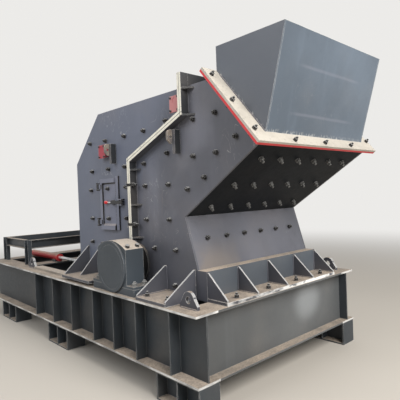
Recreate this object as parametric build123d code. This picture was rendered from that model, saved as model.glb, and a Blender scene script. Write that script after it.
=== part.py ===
"""Horizontal-shaft hammer crusher whose rear housing slides back along its beam base.

Units are millimetres.  Every length along the machine is a station: the distance
behind the front edge of the base.  Every height is above the top of the base, and
the left side is the one at negative X.  export() lifts the machine so that its feet
stand on the floor, and centres it over the origin.
"""
import os
from math import cos, hypot, radians, sin

from build123d import *

# Crushing housing, split into a fixed front and a sliding rear half
HALF_HOUSING = 745
PLATE = 20
TOP = 1665
SPLIT_TOP = 377
SPLIT_SHAFT = 1115
SPLIT_KNEE = 1452
SPLIT_ELBOW = 1149
NOSE = (448, 645)
UNDER_SLOPE = (803, -524)
LEDGE = 229
LEDGE_DEPTH = 97
FRONT_WALL = 222
REAR_CREST = 1738
REAR_WALL = 2231
REAR_SHOULDER = 1192

# Base frame of wide-flange beams on short feet
BASE_MARGIN = 325
BASE_LENGTH = 4280
BEAM_HEIGHT = 500
FLANGE_WIDTH = 215
FLANGE_THICKNESS = 16
WEB_THICKNESS = 12
WEB_SETBACK = 7
FRONT_WEB_STATION = 86
STIFFENER_STATIONS = (302, 731, 1071, 1417, 1848, 2276, 2734)
STIFFENER_SETBACK = 5
MIDDLE_BEAM_STATION = 2000
STAND_BEAM_SETBACK = 1055

FOOT_HEIGHT = 215
FOOT_WIDTH = 195
FRONT_FOOT_LENGTH = 484
MIDDLE_FOOT_SPAN = (1976, 2435)
REAR_FOOT_SETBACK = 390
REAR_FOOT_LENGTH = 477
FOOT_PLATE = 14

HALF_BASE = HALF_HOUSING + BASE_MARGIN
BEAM_X = HALF_BASE - FLANGE_WIDTH / 2

# Rails and lifting lugs on the base
RAIL_OFFSET = 37.5
RAIL_WIDTH = 100
RAIL_HEIGHT = 25
RAIL_START = 1475
RAIL_STAND_GAP = 302
LUG_OFFSET = 12.5
LUG_THICKNESS = 25
LUG_LENGTH = 190
LUG_HOLE_HEIGHT = 62
LUG_HEAD_RADIUS = 62
LUG_HOLE_RADIUS = 26
LUG_HEAD_ANGLE = 76
FRONT_LUG_STATION = 195
REAR_LUG_SETBACK = 1205

# Bolted flanges where the two halves meet
JOINT_FLANGE = 22
JOINT_PROJECTION = 75
JOINT_HEAD = 97
JOINT_BOTTOM = 427
SPLIT_RIBS = (450, 746, 1062)
UPPER_RIBS = (1435, 1640)
RIB_LENGTH = 75
RIB_THICKNESS = 12

# Swing-bolt clamps across the joint flanges
CLAMP_HEIGHTS = (570, 926)
CLAMP_SLOT_WIDTH = 26
CLAMP_SLOT_DEPTH = 55
CLAMP_GAP = 32
CLAMP_PLATE = 12
CLAMP_LENGTH = 58
CLAMP_PROJECTION = 70
CLAMP_CHAMFER = 20

# Feed mouth and hopper
MOUTH_TOE = (-381, 1139)
MOUTH_TOP = (121, 1724)
MOUTH_MARGIN = 80.5
MOUTH_FLANGE = 18
MOUTH_RIM = 80
MOUTH_OPENING = (105, 680)
HOPPER_PLATE = 12
HOPPER_INSET = 68
HOPPER_TOP = 1913
HOPPER_TOE = -331
HOPPER_LIP = -519
HOPPER_BACK = 104

# Feet of the housings
FOOT_FLANGE = 25
FRONT_FOOT_TOE = 10
FRONT_GUSSET_PITCH = 388
FRONT_FOOT_EDGE = 10
GUSSET = 14
GUSSET_LIP = 12
TOE_MARGIN = 5
FRONT_GUSSET_TOP = 220
SIDE_FOOT_SPAN = (346, 722)
SIDE_FOOT_SETBACK = 12
SIDE_GUSSET_TOP = 233
SKID_SPAN = (1494, 2050)
SKID_SETBACK = 15
SKID_GUSSET_SETBACK = (220, 21)
SKID_GUSSET_REACH = (215, 287)
SKID_GUSSET_TOP = (285, 315)

# Rotor and its bearings
SHAFT_HEIGHT = 223
SHAFT_RADIUS = 80
SHAFT_NOTCH = 130
SHAFT_SETBACK = 7
FIT = 0.4
ROTOR_GAP = 85
CORE_RADIUS = 115
DISC_RADIUS = 345
DISC_SIDES = 8
DISC_COUNT = 4
DISC_THICKNESS = 50
HAMMER_ROWS = 4
HAMMER_TIP = 500
HAMMER_ROOT = 215
HAMMER_THICKNESS = 100
SLINGER_RADIUS = 180
SLINGER_THICKNESS = 20
HOUSING_CLEARANCE = 6

BLOCK_GAP = 105
BLOCK_WIDTH = 179
BLOCK_HALF = 225
BLOCK_FOOT = 23
BLOCK_SHOULDER = 380
BLOCK_CROWN = 447
PEDESTAL_HALF = 330
PEDESTAL_HEIGHT = 60
PEDESTAL_SETBACK = 15
COVER_RADIUS = 222
COVER_THICKNESS = 14

# Brackets and covers of the adjusters on the housing's sides
BRACKET_STEM = (57, 30)
BRACKET_HEAD = (105, 18)
BRACKET_HEIGHT = 190
BRACKET_HEAD_HEIGHT = 112
BRACKET_CORNER = 32
BRACKET_HOLE = (72, 55)
BRACKET_HOLE_RADIUS = 13
FRONT_BRACKET = (470, 1150)
REAR_BRACKET = (1424, 1142)
COVER_PLATES = ((1549, 1208), (410, 1475))
COVER_PLATE_SIZE = (118, 130)
COVER_PLATE_THICKNESS = 12
COVER_BOX_HEIGHT = 38
COVER_BOX_INSET = 14

# Access doors in the rear housing
DOOR_SPAN = (1450, 1657)
DOOR_HEIGHTS = (550, 958)
DOOR_OVERLAP = 7
DOOR_MARGIN = 47
DOOR_PLATE = 12
DOOR_GAP = 1
BORDER = 40
BORDER_PROJECTION = 30
SILL_HEIGHT = 60
SILL_SLOPE = 20
GUIDE_GAP = 8
GUIDE_BAR = 46
GUIDE_PROJECTION = 16
GUIDE_RISE = 18
HINGE_INSET = 28
HINGE_RADIUS = 11
HINGE_PIN = 6
HINGE_LENGTH = 40
HINGE_GAP = 5
HINGE_EAR = 14
HINGE_EAR_GAP = 5
STRAP_THICKNESS = 10
STRAP_LENGTH = 30

# Latch of each door
LATCH_RISE = 18
LATCH_BAR = (16, 30)
LATCH_HUB_RADIUS = 22
LATCH_HUB_INSET = 20
LATCH_CLEARANCE = 6
LATCH_OVERHANG = 32
LATCH_ROD = (10, 12)
LATCH_ROD_LENGTH = 82
KNOB_RADIUS = 13
KNOB_LENGTH = 28
HUB_SIDES = 12
KEEPER_PLATE = 10
KEEPER_LENGTH = 80

# Hydraulic cylinders that push the rear housing
CYLINDER_X = 530
CYLINDER_HEIGHT = 55
BARREL_LENGTH = 870
BARREL_RADIUS = 43
BARREL_CAP = 30
GLAND_RADIUS = 49
GLAND_LENGTH = 40
BARREL_EYE_SETBACK = 130
EYE_NECK = 40
NECK_HEIGHT = 40
ROD_RADIUS = 19
ROD_INSERTION = 80
ROD_EYE_REACH = 69
EYE_RADIUS = 32
EYE_WIDTH = 42
EYE_PIN = 14
EAR_PLATE = 16
SADDLE_SETBACK = 60
SADDLE_LENGTH = 80
SADDLE_HALF = 50
SADDLE_DEPTH = 25

# Channel-section stand over the rear end of the base
STAND_OFFSET = 35.5
STAND_SETBACK = 113
STAND_LENGTH = 890
STAND_HEIGHT = 315
CHANNEL = 110
CHANNEL_FLANGE = 50
CHANNEL_WEB = 6

FULL_TURN = 360
HALF_TURN = 180
CUT = 1
BASE_TOP = FOOT_HEIGHT + BEAM_HEIGHT
MIDDLE = (HOPPER_LIP + BASE_LENGTH) / 2

os.makedirs("parts", exist_ok=True)


def export(name, shape):
    """Write one piece, moved from stations and base heights to the floor's own frame."""
    export_step(Pos(0, -MIDDLE, BASE_TOP) * shape, f"parts/{name}.step")


def pair(name, left):
    """Write a left-hand piece and its mirror image on the right."""
    export(f"{name}_left", left)
    export(f"{name}_right", mirror(left, about=Plane.YZ))


def both(name, *left):
    """Write left-hand pieces and their mirror images as separate solids of one node."""
    solids = list(left) + [mirror(piece, about=Plane.YZ) for piece in left]
    export(name, Compound(children=solids))


def block(x, y, z):
    """Box between the two limits given along each axis."""
    size = [abs(b - a) for a, b in (x, y, z)]
    centre = [(a + b) / 2 for a, b in (x, y, z)]
    return Pos(*centre) * Box(*size)


def side_profile(points, x_low, x_high):
    """Extrude a profile of (station, height) points across the machine."""
    face = make_face(Plane.YZ * Polyline(*points, close=True))
    return Pos(x_low, 0, 0) * extrude(face, amount=x_high - x_low, dir=(1, 0, 0))


def front_profile(points, y_low, y_high):
    """Extrude a profile of (x, height) points along the machine."""
    face = make_face(Plane.XZ * Polyline(*points, close=True))
    return Pos(0, y_low, 0) * extrude(face, amount=y_high - y_low, dir=(0, 1, 0))


def across(radius, x_low, x_high, station, height):
    """Round bar along X."""
    bar = Rot(0, 90, 0) * Cylinder(radius, x_high - x_low)
    return Pos((x_low + x_high) / 2, station, height) * bar


def along(radius, y_low, y_high, x, height):
    """Round bar along Y."""
    bar = Rot(90, 0, 0) * Cylinder(radius, y_high - y_low)
    return Pos(x, (y_low + y_high) / 2, height) * bar


def polygon_bar(radius, sides, x_low, x_high):
    """Bar along X with a polygonal section, one of its flats facing up."""
    section = extrude(Plane.YZ * RegularPolygon(radius, sides), amount=x_high - x_low, dir=(1, 0, 0))
    return Rot(HALF_TURN / sides, 0, 0) * Pos(x_low, 0, 0) * section


def on_side(projection):
    """X limits of something that stands off the left side of the housing."""
    return (-HALF_HOUSING - projection, -HALF_HOUSING)


def offset_path(points, distance):
    """Shift an open path to its left by a distance, with mitred corners."""
    normals = []
    for (y0, z0), (y1, z1) in zip(points, points[1:]):
        length = hypot(y1 - y0, z1 - z0)
        normals.append(((z0 - z1) / length, (y1 - y0) / length))
    shifted = []
    for i, (y, z) in enumerate(points):
        a = normals[max(i - 1, 0)]
        b = normals[min(i, len(normals) - 1)]
        scale = distance / (1 + a[0] * b[0] + a[1] * b[1])
        shifted.append((y + (a[0] + b[0]) * scale, z + (a[1] + b[1]) * scale))
    return shifted


def path_wall(points, index):
    """One plate of a folded wall between the side plates, mitred to those beside it."""
    inner = offset_path(points, PLATE)
    corners = [points[index], points[index + 1], inner[index + 1], inner[index]]
    return side_profile(corners, -HALF_HOUSING + PLATE, HALF_HOUSING - PLATE)


# Base frame
def side_beam():
    """Wide-flange beam with paired web stiffeners, left side."""
    inner, outer = BEAM_X - FLANGE_WIDTH / 2, BEAM_X + FLANGE_WIDTH / 2
    half_web = WEB_THICKNESS / 2
    web_z = (FLANGE_THICKNESS - BEAM_HEIGHT, -FLANGE_THICKNESS)
    beam = block((-outer, -inner), (0, BASE_LENGTH), (-BEAM_HEIGHT, web_z[0]))
    beam += block((-outer, -inner), (0, BASE_LENGTH), (web_z[1], 0))
    beam += block((-BEAM_X - half_web, -BEAM_X + half_web), (WEB_SETBACK, BASE_LENGTH), web_z)
    stiffener_x = (-outer + STIFFENER_SETBACK, -inner - STIFFENER_SETBACK)
    for station in STIFFENER_STATIONS:
        beam += block(stiffener_x, (station - half_web, station + half_web), web_z)
    return beam


def cross_beam(start, web_start):
    """Wide-flange beam between the webs of the two side beams."""
    inner_flange = HALF_BASE - FLANGE_WIDTH
    inner_web = BEAM_X - WEB_THICKNESS / 2
    depth = (start, start + FLANGE_WIDTH)
    web_z = (FLANGE_THICKNESS - BEAM_HEIGHT, -FLANGE_THICKNESS)
    beam = block((-inner_flange, inner_flange), depth, (-BEAM_HEIGHT, web_z[0]))
    beam += block((-inner_flange, inner_flange), depth, (web_z[1], 0))
    return beam + block((-inner_web, inner_web), (web_start, web_start + WEB_THICKNESS), web_z)


def centred_cross_beam(start):
    return cross_beam(start, start + (FLANGE_WIDTH - WEB_THICKNESS) / 2)


def foot(start, length):
    """Short beam section under a side beam, closed by end plates, left side."""
    half = FOOT_WIDTH / 2
    x = (-BEAM_X - half, -BEAM_X + half)
    y = (start, start + length)
    top, bottom = -BEAM_HEIGHT, -BASE_TOP
    web_z = (bottom + FOOT_PLATE, top - FOOT_PLATE)
    piece = block(x, y, (bottom, web_z[0])) + block(x, y, (web_z[1], top))
    piece += block((-BEAM_X - WEB_THICKNESS / 2, -BEAM_X + WEB_THICKNESS / 2), y, web_z)
    for station in (start, start + (length - FOOT_PLATE) / 2, start + length - FOOT_PLATE):
        piece += block(x, (station, station + FOOT_PLATE), web_z)
    return piece


def lifting_lug(station):
    """Upright plate with a rounded head and a shackle hole, left side."""
    half = LUG_LENGTH / 2
    lean = radians(LUG_HEAD_ANGLE)
    shoulder = LUG_HEAD_RADIUS * sin(lean)
    shoulder_z = LUG_HOLE_HEIGHT + LUG_HEAD_RADIUS * cos(lean)
    outline = [
        (station - half, 0), (station + half, 0), (station + half, LUG_THICKNESS),
        (station + shoulder, shoulder_z), (station - shoulder, shoulder_z),
        (station - half, LUG_THICKNESS),
    ]
    centre = BEAM_X - LUG_OFFSET
    x = (-centre - LUG_THICKNESS / 2, -centre + LUG_THICKNESS / 2)
    plate = side_profile(outline, *x) + across(LUG_HEAD_RADIUS, *x, station, LUG_HOLE_HEIGHT)
    return plate - across(LUG_HOLE_RADIUS, x[0] - CUT, x[1] + CUT, station, LUG_HOLE_HEIGHT)


def build_base():
    pair("side_beam", side_beam())
    cross_beams = [
        cross_beam(0, FRONT_WEB_STATION),
        centred_cross_beam(MIDDLE_BEAM_STATION),
        centred_cross_beam(BASE_LENGTH - STAND_BEAM_SETBACK),
        centred_cross_beam(BASE_LENGTH - FLANGE_WIDTH),
    ]
    export("cross_beams", Compound(children=cross_beams))
    both(
        "base_feet",
        foot(0, FRONT_FOOT_LENGTH),
        foot(MIDDLE_FOOT_SPAN[0], MIDDLE_FOOT_SPAN[1] - MIDDLE_FOOT_SPAN[0]),
        foot(BASE_LENGTH - REAR_FOOT_SETBACK - REAR_FOOT_LENGTH, REAR_FOOT_LENGTH),
    )
    rail_x = BEAM_X - RAIL_OFFSET
    half_rail = RAIL_WIDTH / 2
    rail_end = stand_limits()[2] - RAIL_STAND_GAP
    rail = block((-rail_x - half_rail, -rail_x + half_rail), (RAIL_START, rail_end), (0, RAIL_HEIGHT))
    both("slide_rails", rail)
    both("lifting_lugs", lifting_lug(FRONT_LUG_STATION), lifting_lug(BASE_LENGTH - REAR_LUG_SETBACK))


# Outlines of the housing in the side view
def mouth_point(run, rise):
    """Point at a run up the feed mouth and a rise off its face."""
    dy, dz = MOUTH_TOP[0] - MOUTH_TOE[0], MOUTH_TOP[1] - MOUTH_TOE[1]
    length = hypot(dy, dz)
    dy, dz = dy / length, dz / length
    return (MOUTH_TOE[0] + run * dy - rise * dz, MOUTH_TOE[1] + run * dz + rise * dy)


def meet(point, direction, rise):
    """Where a line from a point crosses the plane at a rise off the feed mouth."""
    start, end = mouth_point(0, rise), mouth_point(1, rise)
    dy, dz = end[0] - start[0], end[1] - start[1]
    cross = direction[0] * dz - direction[1] * dy
    run = (direction[0] * (point[1] - start[1]) - direction[1] * (point[0] - start[0])) / cross
    return mouth_point(run, rise)


def feed_toe():
    return meet(NOSE, UNDER_SLOPE, -MOUTH_FLANGE)


def feed_top():
    return meet((SPLIT_TOP, TOP), (1, 0), -MOUTH_FLANGE)


def front_path():
    """Outside of the front housing, from the feed mouth down to the base."""
    ledge_back = (FRONT_WALL + LEDGE_DEPTH, LEDGE)
    return [feed_toe(), NOSE, ledge_back, (FRONT_WALL, LEDGE), (FRONT_WALL, 0)]


def rear_path():
    """Outside of the rear housing, from the rails up and over to the split."""
    return [(REAR_WALL, RAIL_HEIGHT), (REAR_WALL, REAR_SHOULDER), (REAR_CREST, TOP), (SPLIT_TOP, TOP)]


def split_path():
    """Line along which the two halves meet, top to bottom."""
    return [
        (SPLIT_TOP, TOP + JOINT_HEAD),
        (SPLIT_TOP, SPLIT_KNEE),
        (SPLIT_SHAFT, SPLIT_ELBOW),
        (SPLIT_SHAFT, JOINT_BOTTOM),
    ]


def shaft_notch():
    return across(SHAFT_NOTCH, -HALF_BASE, HALF_BASE, SPLIT_SHAFT, SHAFT_HEIGHT)


# Bolted joint flanges
def joint_flange(side):
    """Folded flange along the split, left side; side is 1 behind it, -1 in front."""
    path = split_path()
    outline = path + offset_path(path, side * JOINT_FLANGE)[::-1]
    flange = side_profile(outline, *on_side(JOINT_PROJECTION))
    edge = -HALF_HOUSING - JOINT_PROJECTION
    stations = (SPLIT_SHAFT - JOINT_FLANGE - CUT, SPLIT_SHAFT + JOINT_FLANGE + CUT)
    for height in CLAMP_HEIGHTS:
        half = CLAMP_SLOT_WIDTH / 2
        flange -= block((edge - CUT, edge + CLAMP_SLOT_DEPTH), stations, (height - half, height + half))
    return flange


def flange_rib(station, height):
    """Triangular stay between the front joint flange and the side plate."""
    face = station - JOINT_FLANGE
    outer, inner = on_side(JOINT_PROJECTION)
    stay = make_face(Polyline((inner, face), (outer, face), (inner, face - RIB_LENGTH), close=True))
    return Pos(0, 0, height - RIB_THICKNESS / 2) * extrude(stay, amount=RIB_THICKNESS)


def top_joint_flange(side):
    stations = sorted((SPLIT_TOP, SPLIT_TOP + side * JOINT_FLANGE))
    return block((-HALF_HOUSING, HALF_HOUSING), stations, (TOP, TOP + JOINT_HEAD))


def clamp_lug(height):
    """Plate behind the rear joint flange, beside a swing bolt, left side."""
    face = SPLIT_SHAFT + JOINT_FLANGE
    outer, inner = on_side(CLAMP_PROJECTION)
    far = face + CLAMP_LENGTH
    corners = [
        (inner, face), (outer, face), (outer, far - CLAMP_CHAMFER),
        (outer + CLAMP_CHAMFER, far), (inner, far),
    ]
    return Pos(0, 0, height) * extrude(make_face(Polyline(*corners, close=True)), amount=CLAMP_PLATE)


def clamp_lugs():
    lugs = []
    for height in CLAMP_HEIGHTS:
        lugs.append(clamp_lug(height + CLAMP_GAP / 2))
        lugs.append(clamp_lug(height - CLAMP_GAP / 2 - CLAMP_PLATE))
    return lugs


# Feed mouth and hopper
def mouth_slab(run, rise, half_width):
    corners = [mouth_point(run[0], rise[0]), mouth_point(run[1], rise[0]),
               mouth_point(run[1], rise[1]), mouth_point(run[0], rise[1])]
    return side_profile(corners, -half_width, half_width)


def mouth_flange(low, high):
    """Sloping rectangular flange round the feed mouth."""
    length = hypot(MOUTH_TOP[0] - MOUTH_TOE[0], MOUTH_TOP[1] - MOUTH_TOE[1])
    plate = mouth_slab((0, length), (low, high), HALF_HOUSING + MOUTH_MARGIN)
    return plate - mouth_slab(MOUTH_OPENING, (low - CUT, high + CUT), HALF_HOUSING - MOUTH_RIM)


def hopper_foot(station):
    """Point on the mouth flange's face at a station."""
    return meet((station, 0), (0, 1), MOUTH_FLANGE)


def build_hopper():
    """Four plates of the hopper; the front one leans out over its lip."""
    half = HALF_HOUSING - HOPPER_INSET
    x = (-half + HOPPER_PLATE, half - HOPPER_PLATE)
    toe, heel = hopper_foot(HOPPER_TOE), hopper_foot(HOPPER_BACK)
    lip, back = (HOPPER_LIP, HOPPER_TOP), (HOPPER_BACK, HOPPER_TOP)
    both("hopper_sides", side_profile([toe, lip, back, heel], -half, -half + HOPPER_PLATE))

    lean = (lip[0] - toe[0], lip[1] - toe[1])
    across_plate = HOPPER_PLATE * hypot(*lean) / lean[1]
    inner_toe = meet((lip[0] + across_plate, lip[1]), lean, MOUTH_FLANGE)
    front = side_profile([toe, lip, (lip[0] + across_plate, lip[1]), inner_toe], *x)

    inner = HOPPER_BACK - HOPPER_PLATE
    rear = side_profile([(inner, HOPPER_TOP), back, heel, hopper_foot(inner)], *x)
    export("hopper_end_plates", Compound(children=[front, rear]))
    export("hopper_flange", mouth_flange(0, MOUTH_FLANGE))


# Fixed front housing
def front_gusset(x):
    """Triangular plate from the front wall down to the toe of its foot."""
    toe = FRONT_FOOT_TOE + TOE_MARGIN
    outline = [
        (FRONT_WALL, FOOT_FLANGE), (FRONT_WALL, FRONT_GUSSET_TOP),
        (FRONT_WALL - GUSSET_LIP, FRONT_GUSSET_TOP),
        (toe, FOOT_FLANGE + GUSSET_LIP), (toe, FOOT_FLANGE),
    ]
    return side_profile(outline, x - GUSSET / 2, x + GUSSET / 2)


def side_gusset(station, reach, low, high):
    """Triangular plate from the side of the housing out to its toe, left side."""
    outer, inner = on_side(reach)
    outline = [
        (inner, low), (inner, high), (inner - GUSSET_LIP, high),
        (outer, low + GUSSET_LIP), (outer, low),
    ]
    return front_profile(outline, station - GUSSET / 2, station + GUSSET / 2)


def front_foot():
    """Flange in front of the housing with gussets up to the front wall."""
    piece = block((-HALF_HOUSING, HALF_HOUSING), (FRONT_FOOT_TOE, FRONT_WALL), (0, FOOT_FLANGE))
    end = HALF_HOUSING - FRONT_FOOT_EDGE
    for x in (-end, -FRONT_GUSSET_PITCH, 0, FRONT_GUSSET_PITCH, end):
        piece += front_gusset(x)
    return piece


def side_foot():
    """Flange beside the front housing with a gusset at each end, left side."""
    reach = BASE_MARGIN - SIDE_FOOT_SETBACK
    piece = block(on_side(reach), SIDE_FOOT_SPAN, (0, FOOT_FLANGE))
    for station in (SIDE_FOOT_SPAN[0] + GUSSET / 2, SIDE_FOOT_SPAN[1] - GUSSET / 2):
        piece += side_gusset(station, reach - TOE_MARGIN, FOOT_FLANGE, SIDE_GUSSET_TOP)
    return piece


def front_side_plate():
    outline = [(SPLIT_TOP, TOP), feed_top()] + front_path()
    outline += [(SPLIT_SHAFT, 0), (SPLIT_SHAFT, SPLIT_ELBOW), (SPLIT_TOP, SPLIT_KNEE)]
    return side_profile(outline, -HALF_HOUSING, -HALF_HOUSING + PLATE) - shaft_notch()


def build_front_housing():
    x = (-HALF_HOUSING + PLATE, HALF_HOUSING - PLATE)
    pair("front_side_plate", front_side_plate())
    path = front_path()
    inner_nose = offset_path(path, PLATE)[1]
    inner_toe = meet(inner_nose, UNDER_SLOPE, -MOUTH_FLANGE)
    export("under_slope_plate", side_profile([path[0], path[1], inner_nose, inner_toe], *x))
    export("lower_slope_plate", path_wall(path, 1))
    export("front_wall", path_wall(path, 2) + path_wall(path, 3))
    under_top = meet((SPLIT_TOP, TOP - PLATE), (1, 0), -MOUTH_FLANGE)
    top = [feed_top(), (SPLIT_TOP, TOP), (SPLIT_TOP, TOP - PLATE), under_top]
    export("front_top_plate", side_profile(top, *x))
    export("mouth_flange", mouth_flange(-MOUTH_FLANGE, 0))

    flange = joint_flange(-1)
    for height in SPLIT_RIBS:
        flange += flange_rib(SPLIT_SHAFT, height)
    for height in UPPER_RIBS:
        flange += flange_rib(SPLIT_TOP, height)
    both("front_joint_flanges", flange)
    export("front_joint_flange_top", top_joint_flange(-1))
    export("front_foot_flange", front_foot())
    both("side_foot_flanges", side_foot())


# Adjusters on the sides of both housings
def adjuster_bracket(place):
    """Upright bar with a round-cornered head plate behind it, drilled for a pin, left side."""
    station, low = place
    high = low + BRACKET_HEIGHT
    back = station + BRACKET_STEM[1]
    bracket = block(on_side(BRACKET_STEM[0]), (station, back), (low, high))
    outer, inner = on_side(BRACKET_HEAD[0])
    head_low = high - BRACKET_HEAD_HEIGHT
    corner = BRACKET_CORNER
    outline = [
        (inner, head_low), (inner, high), (outer + corner, high),
        (outer, high - corner), (outer, head_low + corner), (outer + corner, head_low),
    ]
    y = (back, back + BRACKET_HEAD[1])
    head = front_profile(outline, *y)
    head += along(corner, *y, outer + corner, high - corner)
    hole_x, hole_z = -HALF_HOUSING - BRACKET_HOLE[0], head_low + BRACKET_HOLE[1]
    return bracket + head - along(BRACKET_HOLE_RADIUS, station - CUT, y[1] + CUT, hole_x, hole_z)


def cover_plate(place):
    """Square cover on a short box, left side."""
    station, low = place
    length, height = COVER_PLATE_SIZE
    inset = COVER_BOX_INSET
    box = block(
        on_side(COVER_BOX_HEIGHT),
        (station + inset, station + length - inset),
        (low + inset, low + height - inset),
    )
    outer = -HALF_HOUSING - COVER_BOX_HEIGHT
    return box + block(
        (outer - COVER_PLATE_THICKNESS, outer), (station, station + length), (low, low + height))


# Bearings and rotor
def bearing_block():
    """Bearing housing with a low arched crown, bored for the shaft, left side."""
    foot_top = PEDESTAL_HEIGHT + BLOCK_FOOT
    low, high = SPLIT_SHAFT - BLOCK_HALF, SPLIT_SHAFT + BLOCK_HALF
    edges = Polyline((low, BLOCK_SHOULDER), (low, foot_top), (high, foot_top), (high, BLOCK_SHOULDER))
    crown = ThreePointArc((high, BLOCK_SHOULDER), (SPLIT_SHAFT, BLOCK_CROWN), (low, BLOCK_SHOULDER))
    face = make_face(Plane.YZ * (edges + crown))
    inner = HALF_HOUSING + BLOCK_GAP
    outer = inner + BLOCK_WIDTH
    body = Pos(-outer, 0, 0) * extrude(face, amount=BLOCK_WIDTH, dir=(1, 0, 0))
    stations = (SPLIT_SHAFT - PEDESTAL_HALF, SPLIT_SHAFT + PEDESTAL_HALF)
    body += block((-outer, -inner), stations, (PEDESTAL_HEIGHT, foot_top))
    return body - across(SHAFT_RADIUS + FIT, -outer - CUT, -inner + CUT, SPLIT_SHAFT, SHAFT_HEIGHT)


def bearing_cover():
    """Large round cover on the face of the bearing housing, left side."""
    face = HALF_HOUSING + BLOCK_GAP + BLOCK_WIDTH
    return shaft_bar(COVER_RADIUS, -face - COVER_THICKNESS, -face)


def build_bearings():
    inner = HALF_HOUSING + BLOCK_GAP
    outer = inner + BLOCK_WIDTH
    stations = (SPLIT_SHAFT - PEDESTAL_HALF, SPLIT_SHAFT + PEDESTAL_HALF)
    both("bearing_pedestals", block((-outer, -inner - PEDESTAL_SETBACK), stations, (0, PEDESTAL_HEIGHT)))
    both("bearing_blocks", bearing_block())
    both("bearing_covers", bearing_cover())


def rotor_half():
    return HALF_HOUSING - PLATE - ROTOR_GAP


def disc_pitch():
    return (2 * rotor_half() - DISC_THICKNESS) / (DISC_COUNT - 1)


def shaft_bar(radius, x_low, x_high):
    return across(radius, x_low, x_high, SPLIT_SHAFT, SHAFT_HEIGHT)


def turned(angle, piece):
    """Turn a piece that is modelled about the X axis and set it on the shaft."""
    return Pos(0, SPLIT_SHAFT, SHAFT_HEIGHT) * Rot(angle, 0, 0) * piece


def disc(index):
    """Polygonal plate on the rotor's core; its flats face the hammer rows."""
    x = -rotor_half() + index * disc_pitch()
    plate = polygon_bar(DISC_RADIUS, DISC_SIDES, x, x + DISC_THICKNESS)
    seat = polygon_bar(CORE_RADIUS + FIT, DISC_SIDES, x - CUT, x + DISC_THICKNESS + CUT)
    return turned(0, plate - seat)


def hammer(row, bay):
    """Bar-shaped hammer that fills the bay between two discs."""
    low = -rotor_half() + bay * disc_pitch() + DISC_THICKNESS + FIT
    high = low + disc_pitch() - DISC_THICKNESS - 2 * FIT
    half = HAMMER_THICKNESS / 2
    bar = block((low, high), (-half, half), (HAMMER_ROOT, HAMMER_TIP))
    return turned(FULL_TURN * (row + 0.5) / HAMMER_ROWS, bar)


def build_rotor():
    end = HALF_HOUSING + BLOCK_GAP + BLOCK_WIDTH - SHAFT_SETBACK
    core = turned(0, polygon_bar(CORE_RADIUS, DISC_SIDES, -rotor_half(), rotor_half()))
    export("rotor", shaft_bar(SHAFT_RADIUS, -end, end) + core)
    export("rotor_discs", Compound(children=[disc(index) for index in range(DISC_COUNT)]))
    bays = [(row, bay) for row in range(HAMMER_ROWS) for bay in range(DISC_COUNT - 1)]
    export("hammers", Compound(children=[hammer(row, bay) for row, bay in bays]))
    near = HALF_HOUSING + HOUSING_CLEARANCE
    far = near + SLINGER_THICKNESS
    slinger = shaft_bar(SLINGER_RADIUS, -far, -near) - shaft_bar(SHAFT_RADIUS + FIT, -far - CUT, -near + CUT)
    both("oil_slingers", slinger)


# Sliding rear housing
def rear_side_plate():
    outline = rear_path() + [(SPLIT_TOP, SPLIT_KNEE), (SPLIT_SHAFT, SPLIT_ELBOW), (SPLIT_SHAFT, RAIL_HEIGHT)]
    x = (-HALF_HOUSING, -HALF_HOUSING + PLATE)
    opening = block((x[0] - CUT, x[1] + CUT), DOOR_SPAN, DOOR_HEIGHTS)
    return side_profile(outline, *x) - shaft_notch() - opening


def skid():
    """Flange that slides on the rail, with gussets up to the side plate, left side."""
    top = RAIL_HEIGHT + FOOT_FLANGE
    piece = block(on_side(BASE_MARGIN - SKID_SETBACK), SKID_SPAN, (RAIL_HEIGHT, top))
    for setback, reach, high in zip(SKID_GUSSET_SETBACK, SKID_GUSSET_REACH, SKID_GUSSET_TOP):
        piece += side_gusset(SKID_SPAN[1] - setback, reach, top, high)
    return piece


def build_rear_housing():
    pair("rear_side_plate", rear_side_plate())
    path = rear_path()
    for index, name in enumerate(("rear_wall", "rear_slope_plate", "rear_top_plate")):
        export(name, path_wall(path, index))
    both("rear_joint_flanges", joint_flange(1))
    export("rear_joint_flange_top", top_joint_flange(1))
    both("clamp_lugs", *clamp_lugs())
    both("skids", skid())


# Access doors
def door_limits():
    """Stations and heights of the door's edges."""
    stations = (DOOR_SPAN[0] - DOOR_OVERLAP, DOOR_SPAN[1] + DOOR_MARGIN)
    return stations, (DOOR_HEIGHTS[0] - DOOR_MARGIN, DOOR_HEIGHTS[1] + DOOR_MARGIN)


def door_face():
    """X of the door plate's outer face, left side."""
    return -HALF_HOUSING - DOOR_GAP - DOOR_PLATE


def hinge_axis():
    """X and station of the hinge pins, outside the door's border, left side."""
    station = door_limits()[0][1] + HINGE_GAP + HINGE_RADIUS
    return -HALF_HOUSING - BORDER_PROJECTION - STRAP_THICKNESS - HINGE_PIN, station


def hinge_heights():
    return DOOR_HEIGHTS[0] + HINGE_INSET, DOOR_HEIGHTS[1] - HINGE_INSET


def latch_height():
    return sum(DOOR_HEIGHTS) / 2 + LATCH_RISE


def latch_face():
    """How far the latch bar stands off the housing, clear of the guide bar."""
    return GUIDE_PROJECTION + LATCH_CLEARANCE


def guide_edge():
    """Station of the front edge of the tall guide bar."""
    return door_limits()[0][0] - GUIDE_GAP - GUIDE_BAR


def door_frame():
    """Tall guide bar in front of the door, with the hinge ears, pins and latch keeper, left side."""
    _, z = door_limits()
    stations = (guide_edge(), guide_edge() + GUIDE_BAR)
    guide = block(on_side(GUIDE_PROJECTION), stations, (z[0], z[1] + GUIDE_RISE))
    return guide + hinge_ears() + latch_keeper()


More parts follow.
